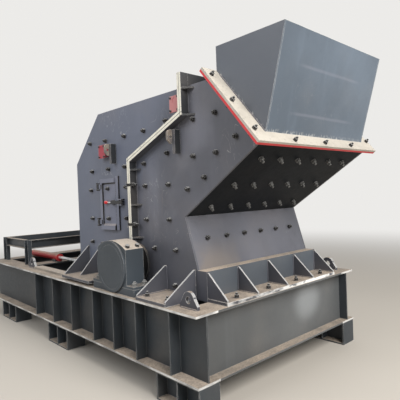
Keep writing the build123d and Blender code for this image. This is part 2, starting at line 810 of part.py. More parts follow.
def hinge_ears():
    """Ears above and below each hinge barrel, with the pin between them."""
    pin_x, pin_y = hinge_axis()
    ears = Part()
    for height in hinge_heights():
        reach = HINGE_LENGTH / 2 + HINGE_EAR_GAP
        ears += Pos(pin_x, pin_y, height) * Cylinder(HINGE_PIN, 2 * (reach + HINGE_EAR))
        for low in (height - reach - HINGE_EAR, height + reach):
            x = (pin_x - HINGE_RADIUS, -HALF_HOUSING)
            ears += block(x, (pin_y - HINGE_RADIUS, pin_y + HINGE_RADIUS), (low, low + HINGE_EAR))
    return ears


def latch_keeper():
    """Pair of plates that the latch bar drops between, in front of the guide bar."""
    height = latch_height()
    gap = LATCH_BAR[1] / 2 + LATCH_CLEARANCE
    x = on_side(latch_face() + LATCH_BAR[0])
    stations = (guide_edge() - KEEPER_LENGTH, guide_edge())
    plates = Part()
    for low in (height - gap - KEEPER_PLATE, height + gap):
        plates += block(x, stations, (low, low + KEEPER_PLATE))
    return plates


def door_border():
    """Bars along the top and the hinged edge of the door, and its sill with a sloping top, left side."""
    y, z = door_limits()
    face = door_face()
    proud = -HALF_HOUSING - BORDER_PROJECTION
    border = block((proud, face), (y[1] - BORDER, y[1]), z)
    border += block((proud, face), y, (z[1] - BORDER, z[1]))
    top = z[0] + SILL_HEIGHT
    sill = [(face, z[0]), (face, top), (proud, top - SILL_SLOPE), (proud, z[0])]
    return border + front_profile(sill, *y)


def door():
    """Door plate with its raised border and two hinge barrels, left side."""
    y, z = door_limits()
    panel = block((door_face(), door_face() + DOOR_PLATE), y, z) + door_border()
    pin_x, pin_y = hinge_axis()
    seat = -HALF_HOUSING - BORDER_PROJECTION
    for height in hinge_heights():
        strap_z = (height - HINGE_LENGTH / 2, height + HINGE_LENGTH / 2)
        panel += block((seat - STRAP_THICKNESS, seat), (y[1] - STRAP_LENGTH, pin_y), strap_z)
        panel += Pos(pin_x, pin_y, height) * Cylinder(HINGE_RADIUS, HINGE_LENGTH)
        panel -= Pos(pin_x, pin_y, height) * Cylinder(HINGE_PIN + FIT, HINGE_LENGTH + CUT)
    return panel


def latch():
    """Bar over the guide bar on a round hub, with a rod and a knob to pull it, left side."""
    height = latch_height()
    hub_y = DOOR_SPAN[0] + LATCH_HUB_INSET
    bar_x = (-HALF_HOUSING - latch_face() - LATCH_BAR[0], -HALF_HOUSING - latch_face())
    middle = sum(bar_x) / 2
    half = LATCH_BAR[1] / 2
    rod_start = hub_y + LATCH_OVERHANG
    rod_end = rod_start + LATCH_ROD_LENGTH
    piece = block(bar_x, (guide_edge() - KEEPER_LENGTH, rod_start), (height - half, height + half))
    piece += Pos(0, hub_y, height) * polygon_bar(LATCH_HUB_RADIUS, HUB_SIDES, bar_x[0], door_face())
    width, depth = (size / 2 for size in LATCH_ROD)
    piece += block((middle - width, middle + width), (rod_start, rod_end), (height - depth, height + depth))
    return piece + along(KNOB_RADIUS, rod_end, rod_end + KNOB_LENGTH, middle, height)


# Hydraulic cylinders
def eye(x, station):
    """Round eye of a cylinder, before its pin hole is cut."""
    half = EYE_WIDTH / 2
    return across(EYE_RADIUS, x - half, x + half, station, CYLINDER_HEIGHT)


def eye_hole(x, station):
    half = EYE_WIDTH / 2 + CUT
    return across(EYE_PIN + FIT, x - half, x + half, station, CYLINDER_HEIGHT)


def ears(x, outline):
    """Two plates with the given side outline, one each side of an eye, and its pin."""
    station = outline[0][0]
    inner = EYE_WIDTH / 2 + FIT
    outer = inner + EAR_PLATE
    piece = across(EYE_PIN, x - outer, x + outer, station, CYLINDER_HEIGHT)
    for near in (x - outer, x + inner):
        piece += side_profile(outline, near, near + EAR_PLATE)
    return piece


def rod_ears(x):
    """Ears that stand out from the rear wall and hold the eye of the rod."""
    station = REAR_WALL + ROD_EYE_REACH
    low, high = CYLINDER_HEIGHT - EYE_RADIUS, CYLINDER_HEIGHT + EYE_RADIUS
    nose = station + EYE_RADIUS
    return ears(x, [
        (station, high), (REAR_WALL, high), (REAR_WALL, low), (station, low),
        (nose, low + EYE_RADIUS / 2), (nose, high - EYE_RADIUS / 2),
    ])


def barrel_ears(x):
    """Ears that stand on the rear cross beam and hold the eye of the barrel."""
    station = barrel_eye()
    high = CYLINDER_HEIGHT + EYE_RADIUS
    front, back = station - EYE_RADIUS, station + EYE_RADIUS
    return ears(x, [
        (station, high), (front, high - EYE_RADIUS / 2), (front, 0),
        (back, 0), (back, high - EYE_RADIUS / 2),
    ])


def piston_rod(x):
    station = REAR_WALL + ROD_EYE_REACH
    rod = along(ROD_RADIUS, station, barrel_start() + ROD_INSERTION, x, CYLINDER_HEIGHT)
    return rod + eye(x, station) - eye_hole(x, station)


def barrel_eye():
    return BASE_LENGTH - BARREL_EYE_SETBACK


def barrel_start():
    return barrel_eye() - EYE_NECK - BARREL_LENGTH


def barrel(x):
    """Cylinder tube with a gland ring at the front and an eye at the back."""
    start, end = barrel_start(), barrel_start() + BARREL_LENGTH
    tube = along(BARREL_RADIUS, start, end, x, CYLINDER_HEIGHT)
    tube += along(GLAND_RADIUS, start, start + GLAND_LENGTH, x, CYLINDER_HEIGHT)
    tube -= along(ROD_RADIUS + FIT, start - CUT, end - BARREL_CAP, x, CYLINDER_HEIGHT)
    half = EYE_WIDTH / 2
    neck_z = (CYLINDER_HEIGHT - NECK_HEIGHT / 2, CYLINDER_HEIGHT + NECK_HEIGHT / 2)
    neck = block((x - half, x + half), (end, barrel_eye()), neck_z)
    return tube + neck + eye(x, barrel_eye()) - eye_hole(x, barrel_eye())


def barrel_saddle(x):
    """Cradle between the stand's cross beam and the barrel."""
    start = BASE_LENGTH - STAND_BEAM_SETBACK + SADDLE_SETBACK
    end = start + SADDLE_LENGTH
    cradle = block((x - SADDLE_HALF, x + SADDLE_HALF), (start, end), (0, CYLINDER_HEIGHT - SADDLE_DEPTH))
    return cradle - along(BARREL_RADIUS + FIT, start - CUT, end + CUT, x, CYLINDER_HEIGHT)


def build_cylinders():
    both("rod_lugs", rod_ears(-CYLINDER_X))
    both("piston_rods", piston_rod(-CYLINDER_X))
    both("cylinder_barrels", barrel(-CYLINDER_X))
    both("barrel_mounts", barrel_ears(-CYLINDER_X), barrel_saddle(-CYLINDER_X))


# Stand over the cylinders
def stand_limits():
    """Outer and inner X of the stand's left side, and its front and rear stations."""
    outer = BEAM_X - STAND_OFFSET
    back = BASE_LENGTH - STAND_SETBACK
    return outer, outer - CHANNEL_FLANGE, back - STAND_LENGTH, back


def stand_post(start):
    """Channel post, open outwards, left side."""
    outer, inner, _, _ = stand_limits()
    post = block((-outer, -inner), (start, start + CHANNEL), (0, STAND_HEIGHT))
    pocket_y = (start + CHANNEL_WEB, start + CHANNEL - CHANNEL_WEB)
    return post - block((-outer - CUT, -inner - CHANNEL_WEB), pocket_y, (-CUT, STAND_HEIGHT + CUT))


def stand_side_rail():
    """Channel along the machine between two posts, open outwards, left side."""
    outer, inner, front, back = stand_limits()
    low = STAND_HEIGHT - CHANNEL
    start, end = front + CHANNEL, back - CHANNEL
    rail = block((-outer, -inner), (start, end), (low, STAND_HEIGHT))
    pocket_z = (low + CHANNEL_WEB, STAND_HEIGHT - CHANNEL_WEB)
    return rail - block((-outer - CUT, -inner - CHANNEL_WEB), (start - CUT, end + CUT), pocket_z)


def stand_cross_rail(edge, side):
    """Channel across the machine, open away from the stand's middle."""
    _, inner, _, _ = stand_limits()
    low = STAND_HEIGHT - CHANNEL
    rail = block((-inner, inner), sorted((edge, edge + side * CHANNEL_FLANGE)), (low, STAND_HEIGHT))
    pocket_y = sorted((edge - side * CUT, edge + side * (CHANNEL_FLANGE - CHANNEL_WEB)))
    pocket_z = (low + CHANNEL_WEB, STAND_HEIGHT - CHANNEL_WEB)
    return rail - block((-inner - CUT, inner + CUT), pocket_y, pocket_z)


def build_stand():
    _, _, front, back = stand_limits()
    both("stand_posts", stand_post(front), stand_post(back - CHANNEL))
    both("stand_side_rails", stand_side_rail())
    export("stand_cross_rails", Compound(children=[stand_cross_rail(front, 1), stand_cross_rail(back, -1)]))


build_base()
build_front_housing()
build_hopper()
both("front_adjusters", adjuster_bracket(FRONT_BRACKET))
build_bearings()
build_rotor()
build_rear_housing()
both("rear_adjusters", adjuster_bracket(REAR_BRACKET))
both("cover_plates", *[cover_plate(place) for place in COVER_PLATES])
pair("door_frame", door_frame())
pair("access_door", door())
pair("door_latch", latch())
build_cylinders()
build_stand()
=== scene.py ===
from math import cos, pi, radians, sin

import bpy
import numpy as np
from mathutils import Matrix, Vector


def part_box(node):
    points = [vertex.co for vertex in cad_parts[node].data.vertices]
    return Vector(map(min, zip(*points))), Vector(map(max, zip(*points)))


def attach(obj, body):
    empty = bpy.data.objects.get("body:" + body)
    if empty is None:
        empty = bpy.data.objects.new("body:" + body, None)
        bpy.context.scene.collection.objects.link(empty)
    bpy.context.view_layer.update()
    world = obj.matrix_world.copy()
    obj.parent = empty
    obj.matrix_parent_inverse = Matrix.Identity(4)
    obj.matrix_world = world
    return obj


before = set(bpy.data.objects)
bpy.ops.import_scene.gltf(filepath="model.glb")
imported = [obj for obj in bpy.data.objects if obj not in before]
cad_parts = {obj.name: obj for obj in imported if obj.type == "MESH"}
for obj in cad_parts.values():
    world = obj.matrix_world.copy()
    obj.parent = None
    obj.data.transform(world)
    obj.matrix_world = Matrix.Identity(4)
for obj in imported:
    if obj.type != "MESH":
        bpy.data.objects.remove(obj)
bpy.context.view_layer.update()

bl_info = {
    "name": "Hammer crusher finish",
    "version": (1, 0, 0),
    "blender": (4, 5, 0),
    "location": "View3D > Sidebar > Crusher",
    "description": "Paint, dust, bolts, weld seams and a studio for the hammer crusher",
    "category": "Object",
}

# Places are read from the loaded model, so that everything follows it.
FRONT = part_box("side_beam_left")[0].y
BASE_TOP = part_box("side_beam_left")[1].z
SIDE = -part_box("front_side_plate_left")[0].x
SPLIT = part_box("front_joint_flanges")[1].y
SPLIT_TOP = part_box("rear_joint_flange_top")[0].y
LEFT_AND_RIGHT = (("left", -1.0), ("right", 1.0))
BOTH_WAYS = (-1.0, 1.0)
UP, DOWN, FORWARD, BACKWARD = (0.0, 0.0, 1.0), (0.0, 0.0, -1.0), (0.0, -1.0, 0.0), (0.0, 1.0, 0.0)


def at(x, station, height):
    """Point of the model from X, the distance behind the base's front edge, and the height above the base."""
    return (x, FRONT + station, BASE_TOP + height)


# The two sloping planes of the front, each a corner in the side view and a direction away from it.
NOSE = np.array(at(0.0, 0.448, 0.645))
UNDER_RUN = np.array([0.0, -0.803, 0.524]) / np.hypot(0.803, 0.524)
UNDER_NORMAL = np.array([0.0, -UNDER_RUN[2], UNDER_RUN[1]])
LOWER_RUN = np.array([0.0, -0.129, -0.416]) / np.hypot(0.129, 0.416)
LOWER_NORMAL = np.array([0.0, LOWER_RUN[2], -LOWER_RUN[1]])

# The feed mouth's face: its lower edge, the direction up it and the direction out of it.
MOUTH_RUN = np.array([0.0, 0.502, 0.585]) / np.hypot(0.502, 0.585)
MOUTH_NORMAL = np.array([0.0, -MOUTH_RUN[2], MOUTH_RUN[1]])
MOUTH_TOE = np.array(at(0.0, -0.381, 1.139)) + 0.018 * MOUTH_NORMAL

# The joint between the housings: its two bends in the side view, its flanges' thickness and outer edge.
JOINT_KNEE = np.array([SPLIT_TOP, BASE_TOP + 1.452])
JOINT_ELBOW = np.array([SPLIT, BASE_TOP + 1.149])
JOINT_FLANGE = 0.022
JOINT_EDGE = SIDE + 0.070

# Bolts of the liners in the side plates, as distances behind the base's front edge and heights above it.
FRONT_LINER_BOLTS = (
    (-0.130, 1.215), (0.064, 1.411), (0.068, 1.122), (0.198, 0.947), (0.315, 1.116), (0.305, 1.398),
    (0.393, 0.864), (0.566, 0.371), (0.591, 0.079), (0.632, 0.911), (0.633, 1.170), (0.634, 0.620),
    (0.850, 0.370), (0.955, 0.615), (0.955, 0.911), (0.961, 1.107),
)
REAR_LINER_BOLTS = (
    (0.637, 1.436), (0.952, 1.396), (1.261, 1.388), (1.600, 1.382), (1.905, 1.387), (1.270, 1.104),
    (1.561, 1.099), (1.879, 1.094), (1.258, 0.912), (1.915, 0.900), (1.269, 0.620), (1.907, 0.609),
    (1.927, 0.366),
)
DOOR_BOLTS = ((1.568, 0.908), (1.564, 0.613))

# Bolts of the slopes: rows as distances from the nose along each slope, columns as X.
UNDER_SLOPE_ROWS = (0.139, 0.447, 0.767)
LOWER_SLOPE_ROW = 0.192
SLOPE_COLUMNS = (-0.566, -0.340, -0.113, 0.113, 0.340, 0.566)

# Bolts of the feed mouth: distances up its sides, and along its lower edge as X.
MOUTH_SIDE_BOLTS = (0.113, 0.402, 0.690)
MOUTH_TOE_BOLTS = (-0.400, 0.0, 0.400)
MOUTH_BOLT_IN = 0.034
MOUTH_BOLT_OUT = 0.038
MOUTH_THICKNESS = 0.036

# Heights above the base of the swing bolts and of the stiffeners inside the hopper.
CLAMP_HEIGHTS = (0.570, 0.926)
HOPPER_RIPPLES = (1.373, 1.689)

# Foot plates: the height of their upper faces above the base, and where their nuts and gussets stand.
FOOT_TOP = 0.025
FRONT_FOOT_NUTS = (-0.585, -0.195, 0.195, 0.585)
FRONT_NUT_ROW = 0.068
SIDE_FOOT_NUTS = (0.400, 0.655)
SIDE_NUT_OUT = 0.245
FRONT_GUSSETS = (-0.735, -0.388, 0.0, 0.388, 0.735)
SIDE_GUSSETS = (0.353, 0.715)
GUSSET_HALF = 0.007

# Side beams: the outer face of the web, and the stations of the stiffeners and of the lifting lugs.
WEB_FACE = 0.9685
STIFFENERS = (0.302, 0.731, 1.071, 1.417, 1.848, 2.276, 2.734)
LUGS = (0.195, 3.075)

# Covers on the rear housing: the lower front corner of each, and the insets of its screws.
COVER_CORNERS = ((1.549, 1.208), (0.410, 1.475))
SCREWS_ALONG, SCREWS_UP = (0.014, 0.104), (0.014, 0.116)

# Nuts and cap bolts of the bearings, as distances from the side plates.
FOOT_NUT_OUT = (0.150, 0.248)
CAP_BOLT_OUT = (0.145, 0.245)

# Camera fitted to the photograph: its place, how far it turns right, dips and rolls, and its focal
# length as a share of the picture's width.
CAMERA_PLACE = (-2.9498, -3.9873, 1.5415)
CAMERA_YAW, CAMERA_DIP, CAMERA_ROLL = radians(42.92), radians(0.89), radians(-2.15)
CAMERA_FOCAL = 424.11 / 400
SENSOR_WIDTH = 36.0


# Sizes and colours that a user would change


def length(name, description, default):
    """Property for a length in metres."""
    return bpy.props.FloatProperty(name=name, description=description, default=default, unit="LENGTH")


def colour(name, description, default):
    """Property for a colour, as linear red, green and blue."""
    return bpy.props.FloatVectorProperty(
        name=name, description=description, default=default, subtype="COLOR", size=3, min=0.0, max=1.0
    )


def amount(name, description, default, highest=1.0):
    """Property for a plain number from 0 to a highest one."""
    return bpy.props.FloatProperty(name=name, description=description, default=default, min=0.0, max=highest)


class CrusherPaint(bpy.types.PropertyGroup):
    """Colours and wear of the machine's finishes."""

    slate: colour("Slate paint", "Paint of the housings", (0.101, 0.104, 0.124))
    blue: colour("Blue-grey paint", "Paint of the hopper", (0.101, 0.127, 0.160))
    wall: colour("Front wall paint", "Paint of the wall above the front foot", (0.080, 0.092, 0.108))
    # The door paint is paler and bluer than the slate partly as painted skylight.
    doors: colour("Door paint", "Paint of the access doors and their frames", (0.149, 0.160, 0.210))
    # Painted skylight: the side plates turn paler and bluer to the rear and the top.
    rear: colour("Rear tint", "Bluer tint of the side plates to the rear and the top", (0.128, 0.148, 0.204))
    # Painted shade: the plate under the feed slope is coloured this dark, and forward faces of the joint
    # flanges, doors and adjuster stems are darkened with it.
    painted_shade: colour("Dark slate paint", "Plate under the feed slope", (0.013, 0.015, 0.018))
    beam: colour("Beam paint", "Paint of the base's side beams", (0.028, 0.034, 0.040))
    # The cross beams' paint is lighter than the side beams' paint partly as painted reflection.
    front: colour("Front beam paint", "Paint of the base's cross beams", (0.098, 0.103, 0.106))
    bearing: colour("Bearing paint", "Paint of the bearing housings", (0.046, 0.057, 0.069))
    red: colour("Red paint", "Edges of the feed mouth and the cylinders", (0.58, 0.030, 0.036))
    cream: colour("Cream paint", "Outer edges of the joint flanges", (0.80, 0.77, 0.66))
    latch: colour("Latch steel", "Latches of the doors", (0.022, 0.022, 0.024))
    knob: colour("Knob enamel", "Grips of the latches", (0.62, 0.020, 0.028))
    chrome: colour("Chrome", "Piston rods", (0.78, 0.78, 0.78))
    rail: colour("Rail steel", "Rails under the rear housing", (0.42, 0.39, 0.35))
    seal: colour("Seal rings", "Rings on the shaft", (0.020, 0.020, 0.021))
    crown: colour("Thick dust", "Pale dust on the crowns of the bearings", (0.50, 0.445, 0.385))
    bright: colour("Rubbed metal", "Front edge of the foot where it is rubbed bright", (0.82, 0.82, 0.80))
    beige: colour("Bare primer", "Face of the flange round the feed mouth", (0.47, 0.435, 0.375))
    dust: colour("Dust", "Stone dust that lies on level faces", (0.40, 0.325, 0.255))
    # Also the colour of the painted light on sloping gusset faces and of the painted highlight on bolt tops.
    wear_and_highlight: colour("Worn edge", "Edges where the paint has gone", (0.60, 0.59, 0.57))
    oxide: colour("Bolt steel", "Nuts, studs and bolts", (0.020, 0.019, 0.019))
    zinc: colour("Plated nuts", "Nuts on the feet of the bearings", (0.13, 0.13, 0.127))
    covers: colour("Cover plates", "Small square covers on the rear housing", (0.36, 0.040, 0.060))
    faded: colour("Faded cover", "The cover beside the joint", (0.50, 0.20, 0.20))
    dusting: amount("Dusting", "How much of the level faces the dust covers", 0.85)
    wear: amount("Wear", "How far the paint is worn from edges", 0.75)
    scuffs: amount("Scuffs", "Pale scratches on the side plates", 0.70)


class CrusherBolts(bpy.types.PropertyGroup):
    """Sizes of the bolts, nuts and washers."""

    liner_flats: length("Liner nut", "Width across the flats of the liner nuts", 0.034)
    liner_stud: length("Liner stud", "How far the liner studs stand out of their nuts", 0.012)
    slope_stud: length("Slope stud", "How far the studs under the slope stand out", 0.022)
    mouth_flats: length("Mouth bolt", "Width across the flats of the bolts round the feed mouth", 0.030)
    foot_flats: length("Foot nut", "Width across the flats of the nuts on the feet", 0.032)
    bearing_flats: length("Bearing nut", "Width across the flats of the nuts on the bearing feet", 0.041)
    screw_flats: length("Screw head", "Width across the flats of the small screws", 0.016)
    swing_radius: length("Swing bolt", "Radius of the swing bolts in the joint flanges", 0.012)
    knob_radius: length("Knob", "Largest radius of the grip on each latch", 0.018)


class CrusherWelds(bpy.types.PropertyGroup):
    """Sizes of the weld seams."""

    leg: length("Weld leg", "Height of a weld bead on each of the plates it joins", 0.007)
    ripple: amount("Ripple", "How far the ripples of a bead stand out, against its height", 0.16)


class CrusherStage(bpy.types.PropertyGroup):
    """Floor, lamps and camera."""

    floor: colour("Floor", "Colour of the floor", (0.50, 0.46, 0.405))
    far: colour("Far background", "Colour the floor fades to far from the machine", (0.84, 0.83, 0.81))
    world: amount("Sky light", "Strength of the even light from all round", 0.26, 5.0)
    key: amount("Key lamp", "Power of the large lamp in front, in watts", 1020.0, 5000.0)
    side: amount("Side lamp", "Power of the lamp on the left, in watts", 340.0, 5000.0)
    top: amount("Top lamp", "Power of the lamp overhead, in watts", 120.0, 5000.0)


# Meshes


def make_piece(name, points, faces, finish, body, smooth=False):
    """Put points and faces into a new object, give it a finish and let it ride on a body."""
    mesh = bpy.data.meshes.new(name)
    mesh.from_pydata(np.asarray(points, float).tolist(), [], faces)
    mesh.polygons.foreach_set("use_smooth", np.full(len(mesh.polygons), smooth))
    mesh.update()
    mesh.materials.append(finish_named(finish))
    piece = bpy.data.objects.new(name, mesh)
    bpy.context.scene.collection.objects.link(piece)
    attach(piece, body)
    return piece


def grid_faces(rows, columns, closed_rows=False):
    """Quads of a grid of points whose columns close on themselves, and whose rows may."""
    row = np.arange(rows if closed_rows else rows - 1)[:, None]
    column = np.arange(columns)[None, :]
    after = (column + 1) % columns
    above = (row + 1) % rows
    quads = np.stack([
        row * columns + column, row * columns + after, above * columns + after, above * columns + column
    ], axis=-1)
    return quads.reshape(-1, 4)


def turned_shape(profile, columns=12):
    """Closed surface round the Z axis.

    The profile gives (radius, height, flats) rows.  A point at angle a lies at the row's
    radius where flats is 0.  Where flats is 1 it lies on a hexagon whose flats are at that
    radius: radius / cos(a folded into 30 degrees either side of the nearest flat).
    """
    rows = np.array(profile, float)
    angle = np.arange(columns) * 2 * pi / columns
    folded = np.mod(angle + pi / 6, pi / 3) - pi / 6
    spread = 1 + rows[:, 2:3] * (1 / np.cos(folded)[None, :] - 1)
    radius = rows[:, 0:1] * spread
    ring = np.stack([
        radius * np.cos(angle), radius * np.sin(angle), np.broadcast_to(rows[:, 1:2], radius.shape)
    ], axis=-1)
    ends = np.array([[0.0, 0.0, rows[0, 1]], [0.0, 0.0, rows[-1, 1]]])
    points = np.concatenate([ring.reshape(-1, 3), ends])
    column = np.arange(columns)
    after = (column + 1) % columns
    last = (len(rows) - 1) * columns
    base = np.stack([np.full(columns, len(points) - 2), after, column], axis=1)
    tip = np.stack([np.full(columns, len(points) - 1), last + column, last + after], axis=1)
    caps = np.stack([base, tip], axis=1).reshape(-1, 3)
    return points, grid_faces(len(rows), columns).tolist() + caps.tolist()


def bolt_shape(flats, nut, stud, radius, washer=0.0):
    """Washer, chamfered hexagon nut and round stud, one above the other along Z.

    The chamfer is 6 percent of the width across the flats.
    """
    half, chamfer = flats / 2, flats * 0.06
    profile = []
    if washer > 0:
        profile += [(half * 1.22, 0.0, 0), (half * 1.22, washer, 0)]
    top = washer + nut
    profile += [(half, washer, 1), (half, top - chamfer, 1), (half * 1.01, top, 0)]
    if stud > 0:
        profile += [(radius, top, 0), (radius, top + stud - chamfer, 0), (radius * 0.8, top + stud, 0)]
    return turned_shape(profile)


def liner_nut(sizes):
    """Nut and stud of a liner bolt on its washer."""
    flats = sizes.liner_flats
    return bolt_shape(flats, flats * 0.62, sizes.liner_stud, flats * 0.31, 0.004)


def axes_of(normals, spins):
    """Three unit vectors for each normal: two across it, turned by a spin, and itself."""
    normal = np.asarray(normals, float)
    normal = normal / np.linalg.norm(normal, axis=1, keepdims=True)
    helper = np.where(np.abs(normal[:, 2:3]) < 0.9, np.array([UP]), np.array([[1.0, 0.0, 0.0]]))
    first = np.cross(helper, normal)
    first = first / np.linalg.norm(first, axis=1, keepdims=True)
    second = np.cross(normal, first)
    turn = np.asarray(spins, float)[:, None]
    return first * np.cos(turn) + second * np.sin(turn), second * np.cos(turn) - first * np.sin(turn), normal


def shifted(faces, start):
    """Faces whose corners are counted from a later point."""
    return [[corner + start for corner in face] for face in faces]


def repeated(shape, places, normals, seed=1):
    """Copies of a shape, each set at a place with its Z along a normal and a spin of its own."""
    points, faces = shape
    places = np.asarray(places, float)
    normals = np.broadcast_to(np.asarray(normals, float), places.shape)
    spins = np.random.default_rng(seed).uniform(0, pi / 3, len(places))
    first, second, normal = axes_of(normals, spins)
    copies = (
        places[:, None, :]
        + points[None, :, 0:1] * first[:, None, :]
        + points[None, :, 1:2] * second[:, None, :]
        + points[None, :, 2:3] * normal[:, None, :]
    )
    every = [face for index in range(len(places)) for face in shifted(faces, index * len(points))]
    return copies.reshape(-1, 3), every


def joined(*shapes):
    """One set of points and faces from several."""
    points, faces, start = [], [], 0
    for some, others in shapes:
        points.append(np.asarray(some, float))
        faces += shifted(others, start)
        start += len(some)
    return np.concatenate(points), faces


def bead(start, end, first, second, welds, seed, size=1.0):
    """Weld bead in the corner between two plates.

    At a distance d along the seam the bead reaches leg * (1 + ripple * sin(d / step + noise))
    from the corner, round the quarter circle between the two plates' normals.  The last
    point of each row is the corner itself, sunk a little into both plates, and the reach
    falls to a twentieth at both ends.
    """
    leg, ripple = welds.leg * size, welds.ripple
    start, end = np.array(start, float), np.array(end, float)
    first, second = np.array(first, float), np.array(second, float)
    spacing, step, sunk, columns = 0.009, 0.0035, 0.0005, 5
    run = end - start
    distance = float(np.linalg.norm(run))
    rows = int(np.clip(distance / spacing, 8, 140))
    s = np.linspace(0.0, 1.0, rows)
    noise = np.random.default_rng(seed).uniform(-0.7, 0.7, rows)
    reach = leg * (1 + ripple * np.sin(s * distance / step + noise))
    reach = reach * np.minimum(1.0, np.minimum(s, 1 - s) * distance / leg + 0.05)
    angle = np.linspace(0.0, pi / 2, columns - 1)
    around = np.cos(angle)[:, None] * first + np.sin(angle)[:, None] * second
    centre = start + s[:, None] * run
    rim = centre[:, None, :] + reach[:, None, None] * around[None, :, :]
    ring = np.concatenate([rim, centre[:, None, :] - sunk * (first + second)], axis=1)
    front, last = np.arange(columns)[::-1], np.arange(columns) + (rows - 1) * columns
    faces = grid_faces(rows, columns).tolist() + [front.tolist(), last.tolist()]
    if np.dot(np.cross(first, second), run) < 0:
        faces = [face[::-1] for face in faces]
    return ring.reshape(-1, 3), faces


def ring_shape(centre, radius, thickness, columns=24, rows=10):
    """Ring in the plane of Y and Z: a circle of one radius carried round a circle of another."""
    u = np.arange(columns) * 2 * pi / columns
    v = np.arange(rows) * 2 * pi / rows
    reach = radius + thickness * np.cos(v)[:, None]
    points = np.stack([
        np.broadcast_to(thickness * np.sin(v)[:, None], (rows, columns)),
        reach * np.cos(u)[None, :],
        reach * np.sin(u)[None, :],
    ], axis=-1)
    return points.reshape(-1, 3) + np.array(centre), grid_faces(rows, columns, closed_rows=True).tolist()


def both_sides(places):
    """The (distance, height) places on the left side plate and on the right one, with their normals."""
    points, normals = [], []
    for side in BOTH_WAYS:
        points += [at(side * SIDE, station, height) for station, height in places]
        normals += [(side, 0.0, 0.0)] * len(places)
    return points, normals


# Materials


class Field:
    """A number that varies over a surface. Arithmetic on it adds Math nodes."""

    def __init__(self, coat, socket):
        self.coat = coat
        self.socket = socket

    def join(self, operation, first, second):
        """Add one Math node."""
        made = self.coat.node("ShaderNodeMath", {"operation": operation}, {0: first, 1: second})
        return Field(self.coat, made.outputs[0])

    def __add__(self, other):
        return self.join("ADD", self, other)

    __radd__ = __add__

    def __sub__(self, other):
        return self.join("SUBTRACT", self, other)

    def __rsub__(self, other):
        return self.join("SUBTRACT", other, self)

    def __mul__(self, other):
        return self.join("MULTIPLY", self, other)

    __rmul__ = __mul__

    def __abs__(self):
        return self.join("ABSOLUTE", self, 0.0)

    def __or__(self, other):
        return self.join("MAXIMUM", self, other)

    def __and__(self, other):
        return self.join("MINIMUM", self, other)

    def rise(self, low, high):
        """Smooth step from 0 at low to 1 at high."""
        made = self.coat.node("ShaderNodeMapRange", {"interpolation_type": "SMOOTHSTEP"}, {
            0: self, 1: low, 2: high, 3: 0.0, 4: 1.0
        })
        return Field(self.coat, made.outputs[0])

    def fall(self, low, high):
        """Smooth step from 1 at low to 0 at high."""
        return 1 - self.rise(low, high)


class Nodes:
    """The nodes of one material, or of the world."""

    def __init__(self, owner):
        owner.use_nodes = True
        self.tree = owner.node_tree
        self.tree.nodes.clear()

    def node(self, kind, settings=None, inputs=None):
        """Add a node. Its settings come first, then the values or links of its sockets."""
        made = self.tree.nodes.new(kind)
        for key, value in (settings or {}).items():
            setattr(made, key, value)
        for key, value in (inputs or {}).items():
            value = value.socket if isinstance(value, Field) else value
            if isinstance(value, bpy.types.NodeSocket):
                self.tree.links.new(value, made.inputs[key])
            elif value is not None:
                made.inputs[key].default_value = value
        return made

    def seen(self):
        """1 for the rays that show the background: the camera's, and those off metal and through glass."""
        rays = self.node("ShaderNodeLightPath").outputs
        camera, glossy, clear = (
            Field(self, rays[f"Is {kind} Ray"]) for kind in ("Camera", "Glossy", "Transmission")
        )
        return camera | glossy | clear


